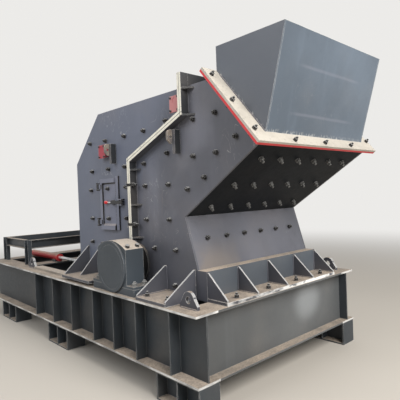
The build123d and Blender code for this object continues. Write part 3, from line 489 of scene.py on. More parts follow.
class Coat(Nodes):
    """One procedural finish and the nodes that make it."""

    def __init__(self, name):
        self.material = bpy.data.materials.new(name)
        super().__init__(self.material)
        self.coordinates = self.node("ShaderNodeTexCoord")
        self.geometry = self.node("ShaderNodeNewGeometry")

    def split(self, socket):
        """The three numbers of a vector."""
        made = self.node("ShaderNodeSeparateXYZ", None, {0: socket})
        return [Field(self, output) for output in made.outputs]

    def place(self):
        """X, Y and Z of the point, in metres."""
        return self.split(self.coordinates.outputs["Object"])

    def facing(self):
        """How far the surface faces along X, Y and Z, from -1 to 1."""
        return self.split(self.coordinates.outputs["Normal"])

    def noise(self, scale, detail=4.0, stretch=(1.0, 1.0, 1.0), distortion=0.0):
        """Fractal noise from 0 to 1, stretched along the axes whose factor is small."""
        place = self.node("ShaderNodeMapping", None, {
            "Vector": self.coordinates.outputs["Object"], "Scale": stretch
        })
        made = self.node("ShaderNodeTexNoise", None, {
            "Vector": place.outputs[0], "Scale": scale, "Detail": detail, "Distortion": distortion
        })
        return Field(self, made.outputs[0])

    def edge(self, radius):
        """1 close to a convex edge: where the rounded normal turns away from the true one."""
        rounded = self.node("ShaderNodeBevel", {"samples": 4}, {"Radius": radius})
        turn = self.node("ShaderNodeVectorMath", {"operation": "DOT_PRODUCT"}, {
            0: rounded.outputs[0], 1: self.geometry.outputs["Normal"]
        })
        return (1 - Field(self, turn.outputs["Value"])).rise(0.01, 0.12)

    def along(self, direction):
        """How far the surface faces a direction, from -1 to 1."""
        turn = self.node("ShaderNodeVectorMath", {"operation": "DOT_PRODUCT"}, {
            0: self.coordinates.outputs["Normal"], 1: tuple(direction)
        })
        return Field(self, turn.outputs["Value"])

    def over(self, under, mask, top):
        """Colour of a top coat laid over another where the mask is 1."""
        under = under if isinstance(under, bpy.types.NodeSocket) else (*under, 1.0)
        top = top if isinstance(top, bpy.types.NodeSocket) else (*top, 1.0)
        made = self.node("ShaderNodeMix", {"data_type": "RGBA"}, {0: mask, 6: under, 7: top})
        return made.outputs[2]

    def finish(self, tint, roughness, height, metallic=0.0, lift=0.0015, shine=0.5):
        """Send colour, roughness and relief to the shader, and return the material."""
        bump = self.node("ShaderNodeBump", None, {"Strength": 0.6, "Distance": lift, "Height": height})
        shader = self.node("ShaderNodeBsdfPrincipled", None, {
            "Base Color": tint if isinstance(tint, bpy.types.NodeSocket) else (*tint, 1.0),
            "Roughness": roughness, "Metallic": metallic, "Normal": bump.outputs[0],
            "Specular IOR Level": shine,
        })
        self.node("ShaderNodeOutputMaterial", None, {"Surface": shader.outputs[0]})
        return self.material


def shade(tint, factor):
    """The same colour, darker or lighter by a factor."""
    return tuple(min(1.0, part * factor) for part in tint)


def dust_on(coat, tint, settings, share=1.0, low=0.35):
    """Lay dust on faces that look up, thin and broken by noise, and a faint haze elsewhere."""
    level = coat.facing()[2].rise(low, 0.95)
    patches = coat.noise(9.0, 6.0).rise(0.28, 0.62)
    grain = coat.noise(70.0, 3.0)
    mask = level * (0.62 + 0.38 * patches) * (settings.dusting * share)
    haze = coat.noise(2.3, 5.0).rise(0.45, 0.8) * (0.10 * settings.dusting * share)
    dust = coat.over(shade(settings.dust, 0.72), grain.rise(0.3, 0.7), shade(settings.dust, 1.18))
    return coat.over(tint, mask | haze, dust), mask


def painted(name, base, settings, dust=1.0, wear=1.0, scuffs=0.0, radius=0.003, layers=None, low=0.35,
            shine=0.5):
    """Paint on steel plate: cloudy colour, streaks, worn edges, scuffs and dust.

    layers lays further colours over the paint, radius is how far an edge is worn, and dust
    starts on faces that look up more than low.
    """
    coat = Coat(name)
    clouds = coat.noise(1.1, 3.0)
    streaks = coat.noise(7.0, 4.0, (1.0, 1.0, 0.12))
    mottle = coat.noise(24.0, 5.0)
    tint = coat.over(shade(base, 0.78), clouds.rise(0.3, 0.7), shade(base, 1.16))
    tint = coat.over(tint, streaks.rise(0.52, 0.82) * 0.35, shade(base, 1.5))
    tint = coat.over(tint, mottle.rise(0.58, 0.86) * 0.25, shade(base, 0.62))
    if layers:
        tint = layers(coat, tint, settings)
    if scuffs:
        lines = coat.noise(5.0, 2.0, (1.0, 1.0, 0.7), 1.4)
        thin = abs(lines - 0.5).fall(0.0, 0.010)
        region = coat.noise(1.7, 2.0).rise(0.56, 0.68)
        chalk = thin * region * (0.6 * scuffs * settings.scuffs) * coat.noise(30.0).rise(0.35, 0.6)
        tint = coat.over(tint, chalk, settings.wear_and_highlight)
        rubbed = coat.noise(3.2, 5.0, (1.0, 1.0, 0.4)).rise(0.60, 0.78) * (0.30 * scuffs * settings.scuffs)
        tint = coat.over(tint, rubbed, shade(base, 2.1))
    worn = coat.edge(radius) * coat.noise(11.0, 6.0).rise(0.25, 0.60) * (settings.wear * wear)
    tint = coat.over(tint, worn, settings.wear_and_highlight)
    tint, dusty = dust_on(coat, tint, settings, dust, low)
    rough = 0.40 + 0.16 * mottle + 0.35 * (dusty | worn)
    relief = 0.5 * coat.noise(160.0, 2.0) + 0.7 * coat.noise(5.0, 2.0) + 0.6 * dusty
    return coat.finish(tint, rough, relief, shine=shine)


def joint_gap(coat):
    """Distance from the line where the two joint flanges meet, which has three straight runs."""
    _, y, z = coat.place()
    run = JOINT_ELBOW - JOINT_KNEE
    along, rise = (run / np.linalg.norm(run)).tolist()
    knee_y, knee_z = JOINT_KNEE.tolist()
    sloping = abs((z - knee_z) * along - (y - knee_y) * rise)
    return abs(y - SPLIT_TOP) & abs(y - SPLIT) & sloping


def cream_edge(coat, tint, settings):
    """Cream paint on the outer edge of the joint flanges, chipped, dirty and split by a dark line; the
    flanges' forward faces are painted in shade.
    """
    x, _, _ = coat.place()
    sideways, ahead, _ = coat.facing()
    rim = abs(x).rise(JOINT_EDGE, JOINT_EDGE + 0.0035)
    dirt = coat.noise(14.0, 6.0).rise(0.52, 0.75) * 0.35
    cream = coat.over(settings.cream, dirt, shade(settings.dust, 0.6))
    cream = coat.over(cream, joint_gap(coat).fall(0.0012, 0.0035), (0.04, 0.04, 0.04))
    # Painted shade on the forward faces of the flanges.
    painted_shade = (0 - ahead).rise(0.3, 0.6) * (1 - rim)
    tint = coat.over(tint, painted_shade * 0.85, settings.painted_shade)
    chips = coat.noise(40.0).rise(0.62, 0.70)
    return coat.over(tint, rim * abs(sideways).rise(0.6, 0.9) * (1 - 0.5 * chips), cream)


def door_painted_shade(coat, tint, settings):
    """Painted shade under the door's upper bar and on its forward faces up to the bar; the hinge knuckles are
    darkened too.
    """
    low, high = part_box("access_door_left")
    bar = high.z - 0.040
    panel_face, knuckle_face = SIDE + 0.0135, SIDE + 0.051
    x, y, z = coat.place()
    above = z.rise(bar, bar + 0.002)
    behind = y.rise(low.y - 0.002, low.y)
    # Painted shade on forward faces and a painted shadow under the upper bar.
    forward = (0 - coat.facing()[1]).rise(0.3, 0.6) * (1 - above * behind)
    panel = abs(x).fall(panel_face, panel_face + 0.0025)
    below = z.rise(bar - 0.018, bar - 0.012) * (1 - above) * panel
    knuckles = abs(x).rise(knuckle_face, knuckle_face + 0.003)
    return coat.over(tint, forward | below | knuckles, shade(settings.painted_shade, 0.5))


def bare_rod(coat, tint, settings):
    """Bare rod between the latch and its knob."""
    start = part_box("door_latch_left")[1].y - 0.112
    _, y, _ = coat.place()
    return coat.over(tint, y.rise(start, start + 0.002), settings.wear_and_highlight)


def mouth_edges(coat):
    """How far the surface faces out of the feed mouth, and 1 on the edges of its flanges."""
    turn = coat.along(MOUTH_NORMAL)
    return turn, abs(turn).fall(0.5, 0.8)


def red_edges(coat, tint, settings):
    """Chipped red paint on the edges of the housing's flange round the feed mouth."""
    _, edges = mouth_edges(coat)
    chips = coat.noise(18.0, 6.0).rise(0.62, 0.72)
    red = coat.over(settings.red, chips * 0.4, shade(settings.red, 0.45))
    return coat.over(tint, edges, red)


def primed_flange(coat, tint, settings):
    """Stained and speckled primer on the edges and the face of the hopper's flange."""
    turn, edges = mouth_edges(coat)
    stain = coat.noise(6.0, 6.0).rise(0.42, 0.72) * 0.5
    specks = coat.noise(60.0, 4.0).rise(0.60, 0.68) * 0.5
    primer = coat.over(settings.beige, stain, shade(settings.beige, 0.62))
    primer = coat.over(primer, specks, (0.16, 0.14, 0.13))
    return coat.over(tint, edges | turn.rise(0.5, 0.8), primer)


def smudges(coat, tint, settings):
    """Pale smears and dark patches on the side plates, darker beside the joint, with painted skylight that
    makes them paler and bluer to the rear and the top.
    """
    pale = coat.noise(1.9, 6.0, (1.0, 1.0, 0.45), 0.8).rise(0.47, 0.72) * 0.55
    damp = coat.noise(1.3, 5.0, (1.0, 1.0, 0.5), 0.6).rise(0.50, 0.72) * 0.50
    runs = coat.noise(16.0, 3.0, (1.0, 1.0, 0.09)).rise(0.62, 0.82) * 0.25
    tint = coat.over(tint, damp, shade(settings.slate, 0.55))
    tint = coat.over(tint, pale, shade(settings.slate, 1.9))
    tint = coat.over(tint, runs, shade(settings.dust, 0.75))

    _, y, z = coat.place()
    beside = abs(y - SPLIT).fall(0.12, 0.26) * z.fall(BASE_TOP + 1.10, BASE_TOP + 1.30)
    foot = z.fall(BASE_TOP + 0.30, BASE_TOP + 0.52) * y.fall(SPLIT - 0.10, SPLIT)
    tint = coat.over(tint, (beside | foot) * 0.55, shade(settings.slate, 0.5))

    across, above = y - (FRONT + 0.25), 0.7 * (z - (BASE_TOP + 1.345))
    spread = across * across + above * above + 0.03 * coat.noise(6.0, 4.0)
    tint = coat.over(tint, spread.fall(0.008, 0.048) * 0.5, shade(settings.slate, 1.9))
    # Painted skylight towards the rear and the top.
    return coat.over(tint, (y + 0.6 * z).rise(-0.3, 0.4) * 0.7, settings.rear)


def stained_slope(coat, tint, settings):
    """Paler paint of the lower slope with a brown stain that has run down on the left."""
    x, _, z = coat.place()
    low = z.fall(BASE_TOP + 0.25, BASE_TOP + 0.50)
    left = x.fall(-0.75, 0.35)
    stain = low * left * coat.noise(3.0, 6.0).rise(0.30, 0.62) * 0.55
    tint = coat.over(tint, coat.noise(1.3, 4.0).rise(0.35, 0.7) * 0.6, shade(settings.slate, 1.35))
    return coat.over(tint, stain, shade(settings.dust, 0.55))


def hopper_light_shade_and_spatter(coat, tint, settings):
    """Painted highlights along the level ripples where stiffeners are welded inside the hopper, painted shade
    on its sideways faces, and spatter along its foot.
    """
    out_y, out_z = MOUTH_NORMAL.tolist()[1:]
    toe_y, toe_z = MOUTH_TOE.tolist()[1:]
    x, y, z = coat.place()
    wave = 0.012 * coat.noise(3.0, 2.0)
    lower, upper = (
        abs(z + wave - (BASE_TOP + height)).fall(0.002, 0.016) for height in HOPPER_RIPPLES
    )
    inside = abs(x).fall(0.30, 0.48) * y.fall(FRONT - 0.30, FRONT - 0.25)
    # Painted shade on the hopper's sideways faces.
    tint = coat.over(tint, abs(coat.facing()[0]).rise(0.5, 0.8) * 0.6, shade(settings.slate, 0.8))
    # Painted highlights along the ripples.
    tint = coat.over(tint, (lower | upper) * inside * 0.26, shade(settings.slate, 2.4))
    foot = (y - toe_y) * out_y + (z - toe_z) * out_z
    spatter = foot.fall(0.004, 0.026) * coat.noise(80.0, 3.0, (1.0, 1.0, 0.3)).rise(0.54, 0.60)
    return coat.over(tint, spatter * 0.6, (0.55, 0.55, 0.53))


def painted_light_on_slopes(coat, tint, settings):
    """Sloping faces of the gussets painted pale with painted light from above, broken by noise."""
    upward = coat.facing()[2]
    sloping = upward.rise(0.35, 0.50) * upward.fall(0.85, 0.92)
    return coat.over(tint, sloping * (0.35 + 0.4 * coat.noise(12.0, 5.0)), settings.wear_and_highlight)


def worn_front(coat, tint, settings):
    """Paint rubbed to bright metal along the front edge of the housing's foot, over painted light on the
    sloping gusset faces.
    """
    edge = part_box("front_foot_flange")[0].y
    x, y, z = coat.place()
    plate = z.fall(BASE_TOP + FOOT_TOP + 0.001, BASE_TOP + FOOT_TOP + 0.009)
    near = y.fall(edge + 0.001, edge + 0.016) * plate
    rub = coat.noise(8.0, 6.0, (1.0, 1.0, 2.0)).rise(0.36, 0.52) * (0.55 + 0.45 * x.rise(-0.6, 0.4))
    tint = painted_light_on_slopes(coat, tint, settings)
    return coat.over(tint, near * rub, settings.bright)


def rusty_head(coat, tint, settings):
    """Heads of the adjusters left in brown primer with pale chips, on dark stems whose forward faces are
    painted in shade.
    """
    head = SIDE + 0.055
    x, _, _ = coat.place()
    outer = abs(x).rise(head, head + 0.007) * coat.noise(9.0, 5.0).rise(0.30, 0.55)
    rusty = coat.over(tint, outer * 0.8, shade(settings.dust, 0.62))
    # Painted shade on the forward faces of the stems.
    stem = (0 - coat.facing()[1]).rise(0.3, 0.6) * abs(x).fall(head, head + 0.003)
    return coat.over(rusty, stem, settings.painted_shade)


def front_beam_highlight(coat, tint, settings):
    """A painted highlight on the web of the base's front beam, which is darker towards its ends.

    The highlight is the square of a smooth fall from 1 at its middle to 0 about 0.3 m away.
    """
    middle_x, middle_z = 0.39, 0.52
    x, y, z = coat.place()
    front = y.fall(FRONT + 0.3, FRONT + 0.4)
    ends = abs(x).rise(0.55, 0.95) * 0.35
    across, above = x - middle_x, 1.25 * (z - middle_z)
    highlight_spot = (across * across + above * above + 0.012 * coat.noise(5.0, 4.0)).fall(0.0, 0.10)
    tint = coat.over(tint, ends, shade(settings.front, 0.5))
    tint = coat.over(tint, 1 - front, settings.beam)
    # Painted highlight in the middle of the web.
    return coat.over(tint, front * (highlight_spot * highlight_spot) * 0.9, shade(settings.front, 2.5))


def flange_wear(coat, tint, settings):
    """Pale wear on the thin edges of the beams' flanges, at the top and at the foot of the web."""
    flange, depth, blend = 0.0175, 0.500, 0.002
    _, _, z = coat.place()
    upper = z.rise(BASE_TOP - flange, BASE_TOP - flange + blend)
    foot = BASE_TOP - depth
    lower = z.fall(foot + flange - blend, foot + flange) * z.rise(foot - blend, foot)
    upright = abs(coat.facing()[2]).fall(0.3, 0.6)
    rub = coat.noise(5.0, 6.0, (1.0, 1.0, 3.0)).rise(0.38, 0.62)
    return coat.over(tint, (upper | lower) * upright * (0.35 + 0.6 * rub), shade(settings.wear_and_highlight, 1.15))


def dusty_crown(coat, tint, settings):
    """Thick pale dust on the rounded tops of the bearing blocks."""
    _, _, z = coat.place()
    high = z.rise(BASE_TOP + 0.30, BASE_TOP + 0.34) * coat.facing()[2].rise(0.5, 0.8)
    return coat.over(tint, high, settings.crown)


def faded_front_cover(coat, tint, settings):
    """The cover beside the joint has faded more than the other."""
    _, y, _ = coat.place()
    near = y.fall(FRONT + 1.0, FRONT + 1.1)
    spots = coat.noise(26.0, 3.0).rise(0.60, 0.70)
    return coat.over(tint, near * (1 - 0.6 * spots), settings.faded)


def bare_steel(name, base, settings, metallic, rough, dust):
    """Bare metal with long brushed marks, dull spots and some dust."""
    coat = Coat(name)
    marks = coat.noise(60.0, 3.0, (1.0, 0.06, 1.0))
    spots = coat.noise(13.0, 5.0).rise(0.5, 0.75)
    tint = coat.over(shade(base, 0.75), marks.rise(0.3, 0.7), shade(base, 1.15))
    tint = coat.over(tint, spots * 0.4, shade(base, 0.55))
    tint, dusty = dust_on(coat, tint, settings, dust)
    clean = (1 - dusty) * (1 - 0.4 * spots) * metallic
    return coat.finish(tint, rough + 0.2 * spots + 0.4 * dusty, marks + dusty, clean, 0.0006)


def fastener(name, base, settings, dust):
    """Oiled bolt steel with a dull shine, pale where it looks up with settled dust and a painted highlight.
    """
    coat = Coat(name)
    spots = coat.noise(90.0, 3.0)
    tint = coat.over(shade(base, 0.7), spots.rise(0.35, 0.65), shade(base, 1.8))
    # Faces that look up: settled dust and a painted highlight from above.
    dust_and_highlight = coat.facing()[2].rise(0.35, 0.80) * (0.55 + 0.45 * spots) * dust
    worn = coat.edge(0.0025) * 0.30
    tint = coat.over(tint, dust_and_highlight | worn, settings.wear_and_highlight)
    return coat.finish(tint, 0.28 + 0.2 * spots, spots + dust_and_highlight, 0.3, 0.0008)


def gloss(name, base, settings):
    """Glossy enamel with small chips and a film of dust."""
    coat = Coat(name)
    chips = coat.noise(120.0, 4.0).rise(0.62, 0.68)
    tint = coat.over(base, chips * 0.6, shade(base, 0.35))
    tint, dusty = dust_on(coat, tint, settings, 0.35)
    rough = 0.22 + 0.3 * chips + 0.3 * dusty
    return coat.finish(tint, rough, coat.noise(200.0) + chips, 0.0, 0.0003)


def cast_iron(name, settings):
    """Rough dark iron of the rotor, bright where stone has polished it."""
    coat = Coat(name)
    pits = coat.noise(45.0, 6.0)
    patch = coat.noise(4.0, 4.0).rise(0.4, 0.7)
    tint = coat.over((0.055, 0.050, 0.047), patch, (0.17, 0.16, 0.15))
    tint = coat.over(tint, coat.edge(0.01) * 0.7, (0.42, 0.41, 0.39))
    tint, dusty = dust_on(coat, tint, settings, 0.6)
    return coat.finish(tint, 0.45 + 0.25 * pits + 0.2 * dusty, pits * 2.0, 0.6 * (1 - dusty))


def finishes(settings):
    """Every finish of the machine by name; each is made once."""
    slate, beam, iron = settings.slate, settings.beam, settings.bearing
    bracket, seam = shade(slate, 0.62), shade(slate, 0.95)

    def paint(name, base, **looks):
        """Paint with the machine's settings."""
        return painted(name, base, settings, **looks)

    return {
        "plate": paint("slate_side_plates", slate, wear=0.35, scuffs=1.0, layers=smudges),
        "panel": paint("slate_panels", slate, wear=0.35, scuffs=0.35),
        "wall": paint("front_wall_paint", settings.wall, wear=0.35, dust=1.2, low=0.5),
        # The plate under the feed slope takes the painted shade colour.
        "under": paint("dark_under_slope", settings.painted_shade, wear=0.2, dust=0.2, shine=0.05),
        "slope": paint("lower_slope_paint", slate, wear=0.5, scuffs=0.2, layers=stained_slope),
        "hopper": paint("hopper_paint", settings.blue, wear=1.1, scuffs=0.15, radius=0.004,
                        layers=hopper_light_shade_and_spatter),
        "bracket": paint("slate_brackets", bracket, wear=1.33, radius=0.007, layers=painted_light_on_slopes, low=0.88),
        "foot_plate": paint("front_foot_paint", bracket, wear=1.33, radius=0.007, dust=1.15,
                            layers=worn_front, low=0.88),
        "adjuster": paint("adjuster_paint", shade(slate, 0.7), wear=0.9, radius=0.005, layers=rusty_head),
        "door": paint("slate_doors", settings.doors, wear=0.5, layers=door_painted_shade),
        "joint": paint("slate_joint_flanges", shade(slate, 0.75), wear=0.6, radius=0.004, layers=cream_edge),
        "beam": paint("beam_paint", beam, wear=0.55, radius=0.004, layers=flange_wear, low=0.5),
        "cross": paint("front_beam_paint", settings.front, wear=0.5, radius=0.004, layers=front_beam_highlight,
                       low=0.5),
        "foot": paint("foot_paint", shade(beam, 1.2), wear=0.9, radius=0.006),
        "bearing": paint("bearing_paint", iron, wear=0.9, radius=0.005, dust=0.6, layers=dusty_crown,
                         low=0.3),
        "lid": paint("bearing_cover_paint", shade(iron, 0.95), wear=0.45, radius=0.002, dust=0.2),
        "mouth": paint("mouth_flange_paint", slate, wear=0.3, dust=0.4, layers=red_edges),
        "rim": paint("hopper_flange_paint", slate, wear=0.3, dust=0.4, layers=primed_flange),
        "barrel": paint("cylinder_red", shade(settings.red, 0.7), wear=0.4, radius=0.004, low=0.1),
        "latch": paint("latch_steel", settings.latch, wear=0.7, radius=0.002, dust=0.3, layers=bare_rod),
        "knob": gloss("knob_red", settings.knob, settings),
        "cover": paint("cover_plate_red", settings.covers, dust=0.5, layers=faded_front_cover),
        "rod": bare_steel("piston_rod_chrome", settings.chrome, settings, 0.55, 0.22, 0.3),
        "rail": bare_steel("rail_steel", settings.rail, settings, 0.8, 0.4, 0.8),
        "ring": paint("dark_seal_rings", settings.seal, wear=0.6, dust=0.4),
        "iron": cast_iron("rotor_iron", settings),
        "bolt": fastener("bolt_steel", settings.oxide, settings, 0.8),
        "zinc": fastener("plated_nuts", settings.zinc, settings, 0.5),
        "stud": fastener("slope_studs", shade(settings.zinc, 0.8), settings, 0.5),
        "weld": paint("weld_seams", seam, wear=0.5, radius=0.002),
        "beam_weld": paint("beam_weld_seams", beam, wear=0.5, radius=0.002),
    }


# The nodes of the loaded model that each finish covers, and the finish of each node.
NODES_OF = {
    "beam": ("side_beam_left", "side_beam_right"),
    "cross": ("cross_beams",),
    "foot": ("base_feet", "stand_posts", "stand_side_rails", "stand_cross_rails", "barrel_mounts"),
    "rail": ("slide_rails",),
    "plate": (
        "front_side_plate_left", "front_side_plate_right", "rear_side_plate_left", "rear_side_plate_right",
    ),
    "panel": ("front_top_plate", "rear_wall", "rear_slope_plate", "rear_top_plate"),
    "wall": ("front_wall",),
    "under": ("under_slope_plate",),
    "slope": ("lower_slope_plate",),
    "joint": (
        "front_joint_flanges", "rear_joint_flanges", "front_joint_flange_top", "rear_joint_flange_top",
    ),
    "mouth": ("mouth_flange",),
    "rim": ("hopper_flange",),
    "hopper": ("hopper_sides", "hopper_end_plates"),
    "bracket": ("side_foot_flanges", "skids", "lifting_lugs", "clamp_lugs", "rod_lugs"),
    "foot_plate": ("front_foot_flange",),
    "adjuster": ("front_adjusters", "rear_adjusters"),
    "cover": ("cover_plates",),
    "bearing": ("bearing_pedestals", "bearing_blocks"),
    "lid": ("bearing_covers",),
    "ring": ("oil_slingers",),
    "iron": ("rotor", "rotor_discs", "hammers"),
    "barrel": ("cylinder_barrels",),
    "rod": ("piston_rods",),
    "door": ("door_frame_left", "door_frame_right", "access_door_left", "access_door_right"),
    "latch": ("door_latch_left", "door_latch_right"),
}
FINISH_OF = {node: finish for finish, nodes in NODES_OF.items() for node in nodes}
MADE = {}


def finish_named(name):
    """The finish of that name; all of them are made at the first call."""
    if not MADE:
        MADE.update(finishes(bpy.context.scene.crusher_paint))
    return MADE[name]


# Operators


class CRUSHER_OT_paint(bpy.types.Operator):
    """Give every part of the machine its paint, wear and dust"""

    bl_idname = "crusher.paint"
    bl_label = "Paint the machine"

    def execute(self, context):
        missing = sorted(set(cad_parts) - set(FINISH_OF))
        if missing:
            raise RuntimeError(f"no finish is named for {missing}")
        for node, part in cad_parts.items():
            part.data.materials.clear()
            part.data.materials.append(finish_named(FINISH_OF[node]))
        return {"FINISHED"}


class CRUSHER_OT_liner_bolts(bpy.types.Operator):
    """Nuts and studs of the liners on both side plates and on the doors"""

    bl_idname = "crusher.liner_bolts"
    bl_label = "Liner bolts"

    def execute(self, context):
        shape = liner_nut(context.scene.crusher_bolts)
        for name, places, body in (
            ("front_liner_bolts", FRONT_LINER_BOLTS, "frame"),
            ("rear_liner_bolts", REAR_LINER_BOLTS, "rear_housing"),
        ):
            points, normals = both_sides(places)
            make_piece(name, *repeated(shape, points, normals, len(places)), "bolt", body)
        door_face = SIDE + 0.013
        for name, side in LEFT_AND_RIGHT:
            low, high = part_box(f"access_door_{name}")
            points = [at(side * door_face, station, height) for station, height in DOOR_BOLTS]
            if not low.z < points[0][2] < high.z:
                raise RuntimeError("the door bolts miss the door")
            shapes = repeated(shape, points, (side, 0.0, 0.0), 3)
            make_piece(f"door_bolts_{name}", *shapes, "bolt", f"door_{name}")
        return {"FINISHED"}


class CRUSHER_OT_slope_bolts(bpy.types.Operator):
    """Long studs below the feed slope and nuts on the lower slope"""

    bl_idname = "crusher.slope_bolts"
    bl_label = "Slope bolts"

    def execute(self, context):
        sizes = context.scene.crusher_bolts
        flats = sizes.liner_flats
        long_shape = bolt_shape(flats, flats * 0.6, sizes.slope_stud, flats * 0.32, 0.003)
        places = []
        for run in UNDER_SLOPE_ROWS:
            row = NOSE + UNDER_RUN * run
            places += [(x, row[1], row[2]) for x in SLOPE_COLUMNS]
        make_piece("under_slope_bolts", *repeated(long_shape, places, UNDER_NORMAL, 5), "stud", "frame")
        row = NOSE + LOWER_RUN * LOWER_SLOPE_ROW
        places = [(x, row[1], row[2]) for x in SLOPE_COLUMNS]
        make_piece("lower_slope_bolts", *repeated(liner_nut(sizes), places, LOWER_NORMAL, 6), "bolt", "frame")
        return {"FINISHED"}


class CRUSHER_OT_mouth_bolts(bpy.types.Operator):
    """Bolts that hold the hopper's flange to the feed mouth"""

    bl_idname = "crusher.mouth_bolts"
    bl_label = "Feed mouth bolts"

    def execute(self, context):
        flats = context.scene.crusher_bolts.mouth_flats
        shape = bolt_shape(flats, flats * 0.6, 0.014, flats * 0.27, 0.003)
        places = []
        for run in MOUTH_SIDE_BOLTS:
            point = MOUTH_TOE + MOUTH_RUN * run
            places += [(side * (SIDE + MOUTH_BOLT_OUT), point[1], point[2]) for side in BOTH_WAYS]
        point = MOUTH_TOE + MOUTH_RUN * MOUTH_BOLT_IN
        places += [(x, point[1], point[2]) for x in MOUTH_TOE_BOLTS]
        make_piece("mouth_bolts", *repeated(shape, places, MOUTH_NORMAL, 7), "bolt", "frame")
        backs = np.array(places) - MOUTH_NORMAL * MOUTH_THICKNESS
        nut = bolt_shape(flats, flats * 0.6, 0.008, flats * 0.27)
        make_piece("mouth_nuts", *repeated(nut, backs, -MOUTH_NORMAL, 8), "bolt", "frame")
        return {"FINISHED"}


class CRUSHER_OT_foot_bolts(bpy.types.Operator):
    """Nuts on the flanges that hold the front housing to the base"""

    bl_idname = "crusher.foot_bolts"
    bl_label = "Foot nuts"

    def execute(self, context):
        flats = context.scene.crusher_bolts.foot_flats
        shape = bolt_shape(flats, flats * 0.7, 0.016, flats * 0.3, 0.004)
        places = [at(x, FRONT_NUT_ROW, FOOT_TOP) for x in FRONT_FOOT_NUTS]
        for side in BOTH_WAYS:
            places += [at(side * (SIDE + SIDE_NUT_OUT), station, FOOT_TOP) for station in SIDE_FOOT_NUTS]
        make_piece("foot_nuts", *repeated(shape, places, UP, 9), "bolt", "frame")
        return {"FINISHED"}


class CRUSHER_OT_bearing_bolts(bpy.types.Operator):
    """Plated nuts on the bearing feet, cap bolts on the crowns and the rims of the covers"""

    bl_idname = "crusher.bearing_bolts"
    bl_label = "Bearing bolts"

    def execute(self, context):
        flats = context.scene.crusher_bolts.bearing_flats
        nut = bolt_shape(flats, flats * 0.55, 0.012, flats * 0.3, 0.004)
        low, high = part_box("bearing_pedestals")
        middle = (low.y + high.y) / 2
        reach = (high.y - low.y) / 2 - 0.040
        foot = BASE_TOP + 0.083
        places = [
            (side * (SIDE + out), middle + end * reach, foot)
            for side in BOTH_WAYS for end in BOTH_WAYS for out in FOOT_NUT_OUT
        ]
        make_piece("bearing_foot_nuts", *repeated(nut, places, UP, 10), "zinc", "frame")

        cap = bolt_shape(0.034, 0.018, 0.0, 0.01, 0.004)
        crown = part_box("bearing_blocks")[1].z - 0.0492
        spread, lean, rise = 0.195, 0.474, 0.880
        corners = [(side, end, out) for side in BOTH_WAYS for end in BOTH_WAYS for out in CAP_BOLT_OUT]
        places = [(side * (SIDE + out), middle + end * spread, crown) for side, end, out in corners]
        normals = [(0.0, end * lean, rise) for _, end, _ in corners]
        make_piece("bearing_cap_bolts", *repeated(cap, places, normals, 11), "bolt", "frame")

        rim = turned_shape([
            (0.2215, 0.0, 0), (0.2215, 0.0012, 0), (0.2195, 0.0028, 0), (0.1945, 0.0028, 0),
            (0.1925, 0.0012, 0), (0.1890, 0.0012, 0), (0.1870, 0.0028, 0), (0.040, 0.0034, 0),
        ], 72)
        low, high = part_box("bearing_covers")
        places = [(side * -low.x, middle, (low.z + high.z) / 2) for side in BOTH_WAYS]
        normals = [(side, 0.0, 0.0) for side in BOTH_WAYS]
        make_piece("bearing_cover_rims", *repeated(rim, places, normals, 12), "lid", "frame")
        return {"FINISHED"}


class CRUSHER_OT_swing_bolts(bpy.types.Operator):
    """Eyebolts that swing into the slots of the joint flanges, with their pins and nuts"""

    bl_idname = "crusher.swing_bolts"
    bl_label = "Swing bolts"

    def execute(self, context):
        radius = context.scene.crusher_bolts.swing_radius
        rod = turned_shape([(radius, 0.0, 0), (radius, 0.112, 0), (radius * 0.8, 0.115, 0)])
        nut = bolt_shape(radius * 3.2, radius * 1.9, 0.0, radius, 0.005)
        pin = turned_shape([
            (radius * 1.1, 0.0, 0), (radius * 1.1, 0.006, 0), (radius * 0.8, 0.0062, 0),
            (radius * 0.8, 0.064, 0), (radius * 1.1, 0.0642, 0), (radius * 1.1, 0.070, 0),
        ])
        eye_y = SPLIT + JOINT_FLANGE + 0.031
        nut_y = SPLIT - JOINT_FLANGE
        shapes = []
        for side in BOTH_WAYS:
            for height in CLAMP_HEIGHTS:
                x, z = side * (SIDE + 0.045), BASE_TOP + height
                shapes += [
                    ring_shape((x, eye_y, z), radius * 1.5, radius * 0.62),
                    repeated(rod, [(x, eye_y - radius * 1.3, z)], FORWARD, 13),
                    repeated(nut, [(x, nut_y, z)], FORWARD, 14),
                    repeated(pin, [(x, eye_y, z - 0.035)], UP, 15),
                ]
        make_piece("swing_bolts", *joined(*shapes), "bolt", "rear_housing")
        return {"FINISHED"}


class CRUSHER_OT_knobs(bpy.types.Operator):
    """Red teardrop grip at the end of each latch's rod"""

    bl_idname = "crusher.knobs"
    bl_label = "Latch knobs"

    def execute(self, context):
        radius = context.scene.crusher_bolts.knob_radius
        grip_length = 4.2 * radius
        s = np.linspace(0.10, 0.985, 14)
        # At a share s of its length the grip's radius is the largest one times sin(pi * s squared)
        # to the power 0.6.
        reach = radius * np.sin(pi * s * s) ** 0.6
        grip = turned_shape(np.stack([reach, grip_length * s, np.zeros_like(s)], axis=1), 16)
        for name, side in LEFT_AND_RIGHT:
            low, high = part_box(f"door_latch_{name}")
            place = (side * (SIDE + 0.030), high.y + 0.009 - grip_length, (low.z + high.z) / 2)
            shapes = repeated(grip, [place], BACKWARD, 18)
            make_piece(f"latch_knob_{name}", *shapes, "knob", f"door_{name}", smooth=True)
        return {"FINISHED"}


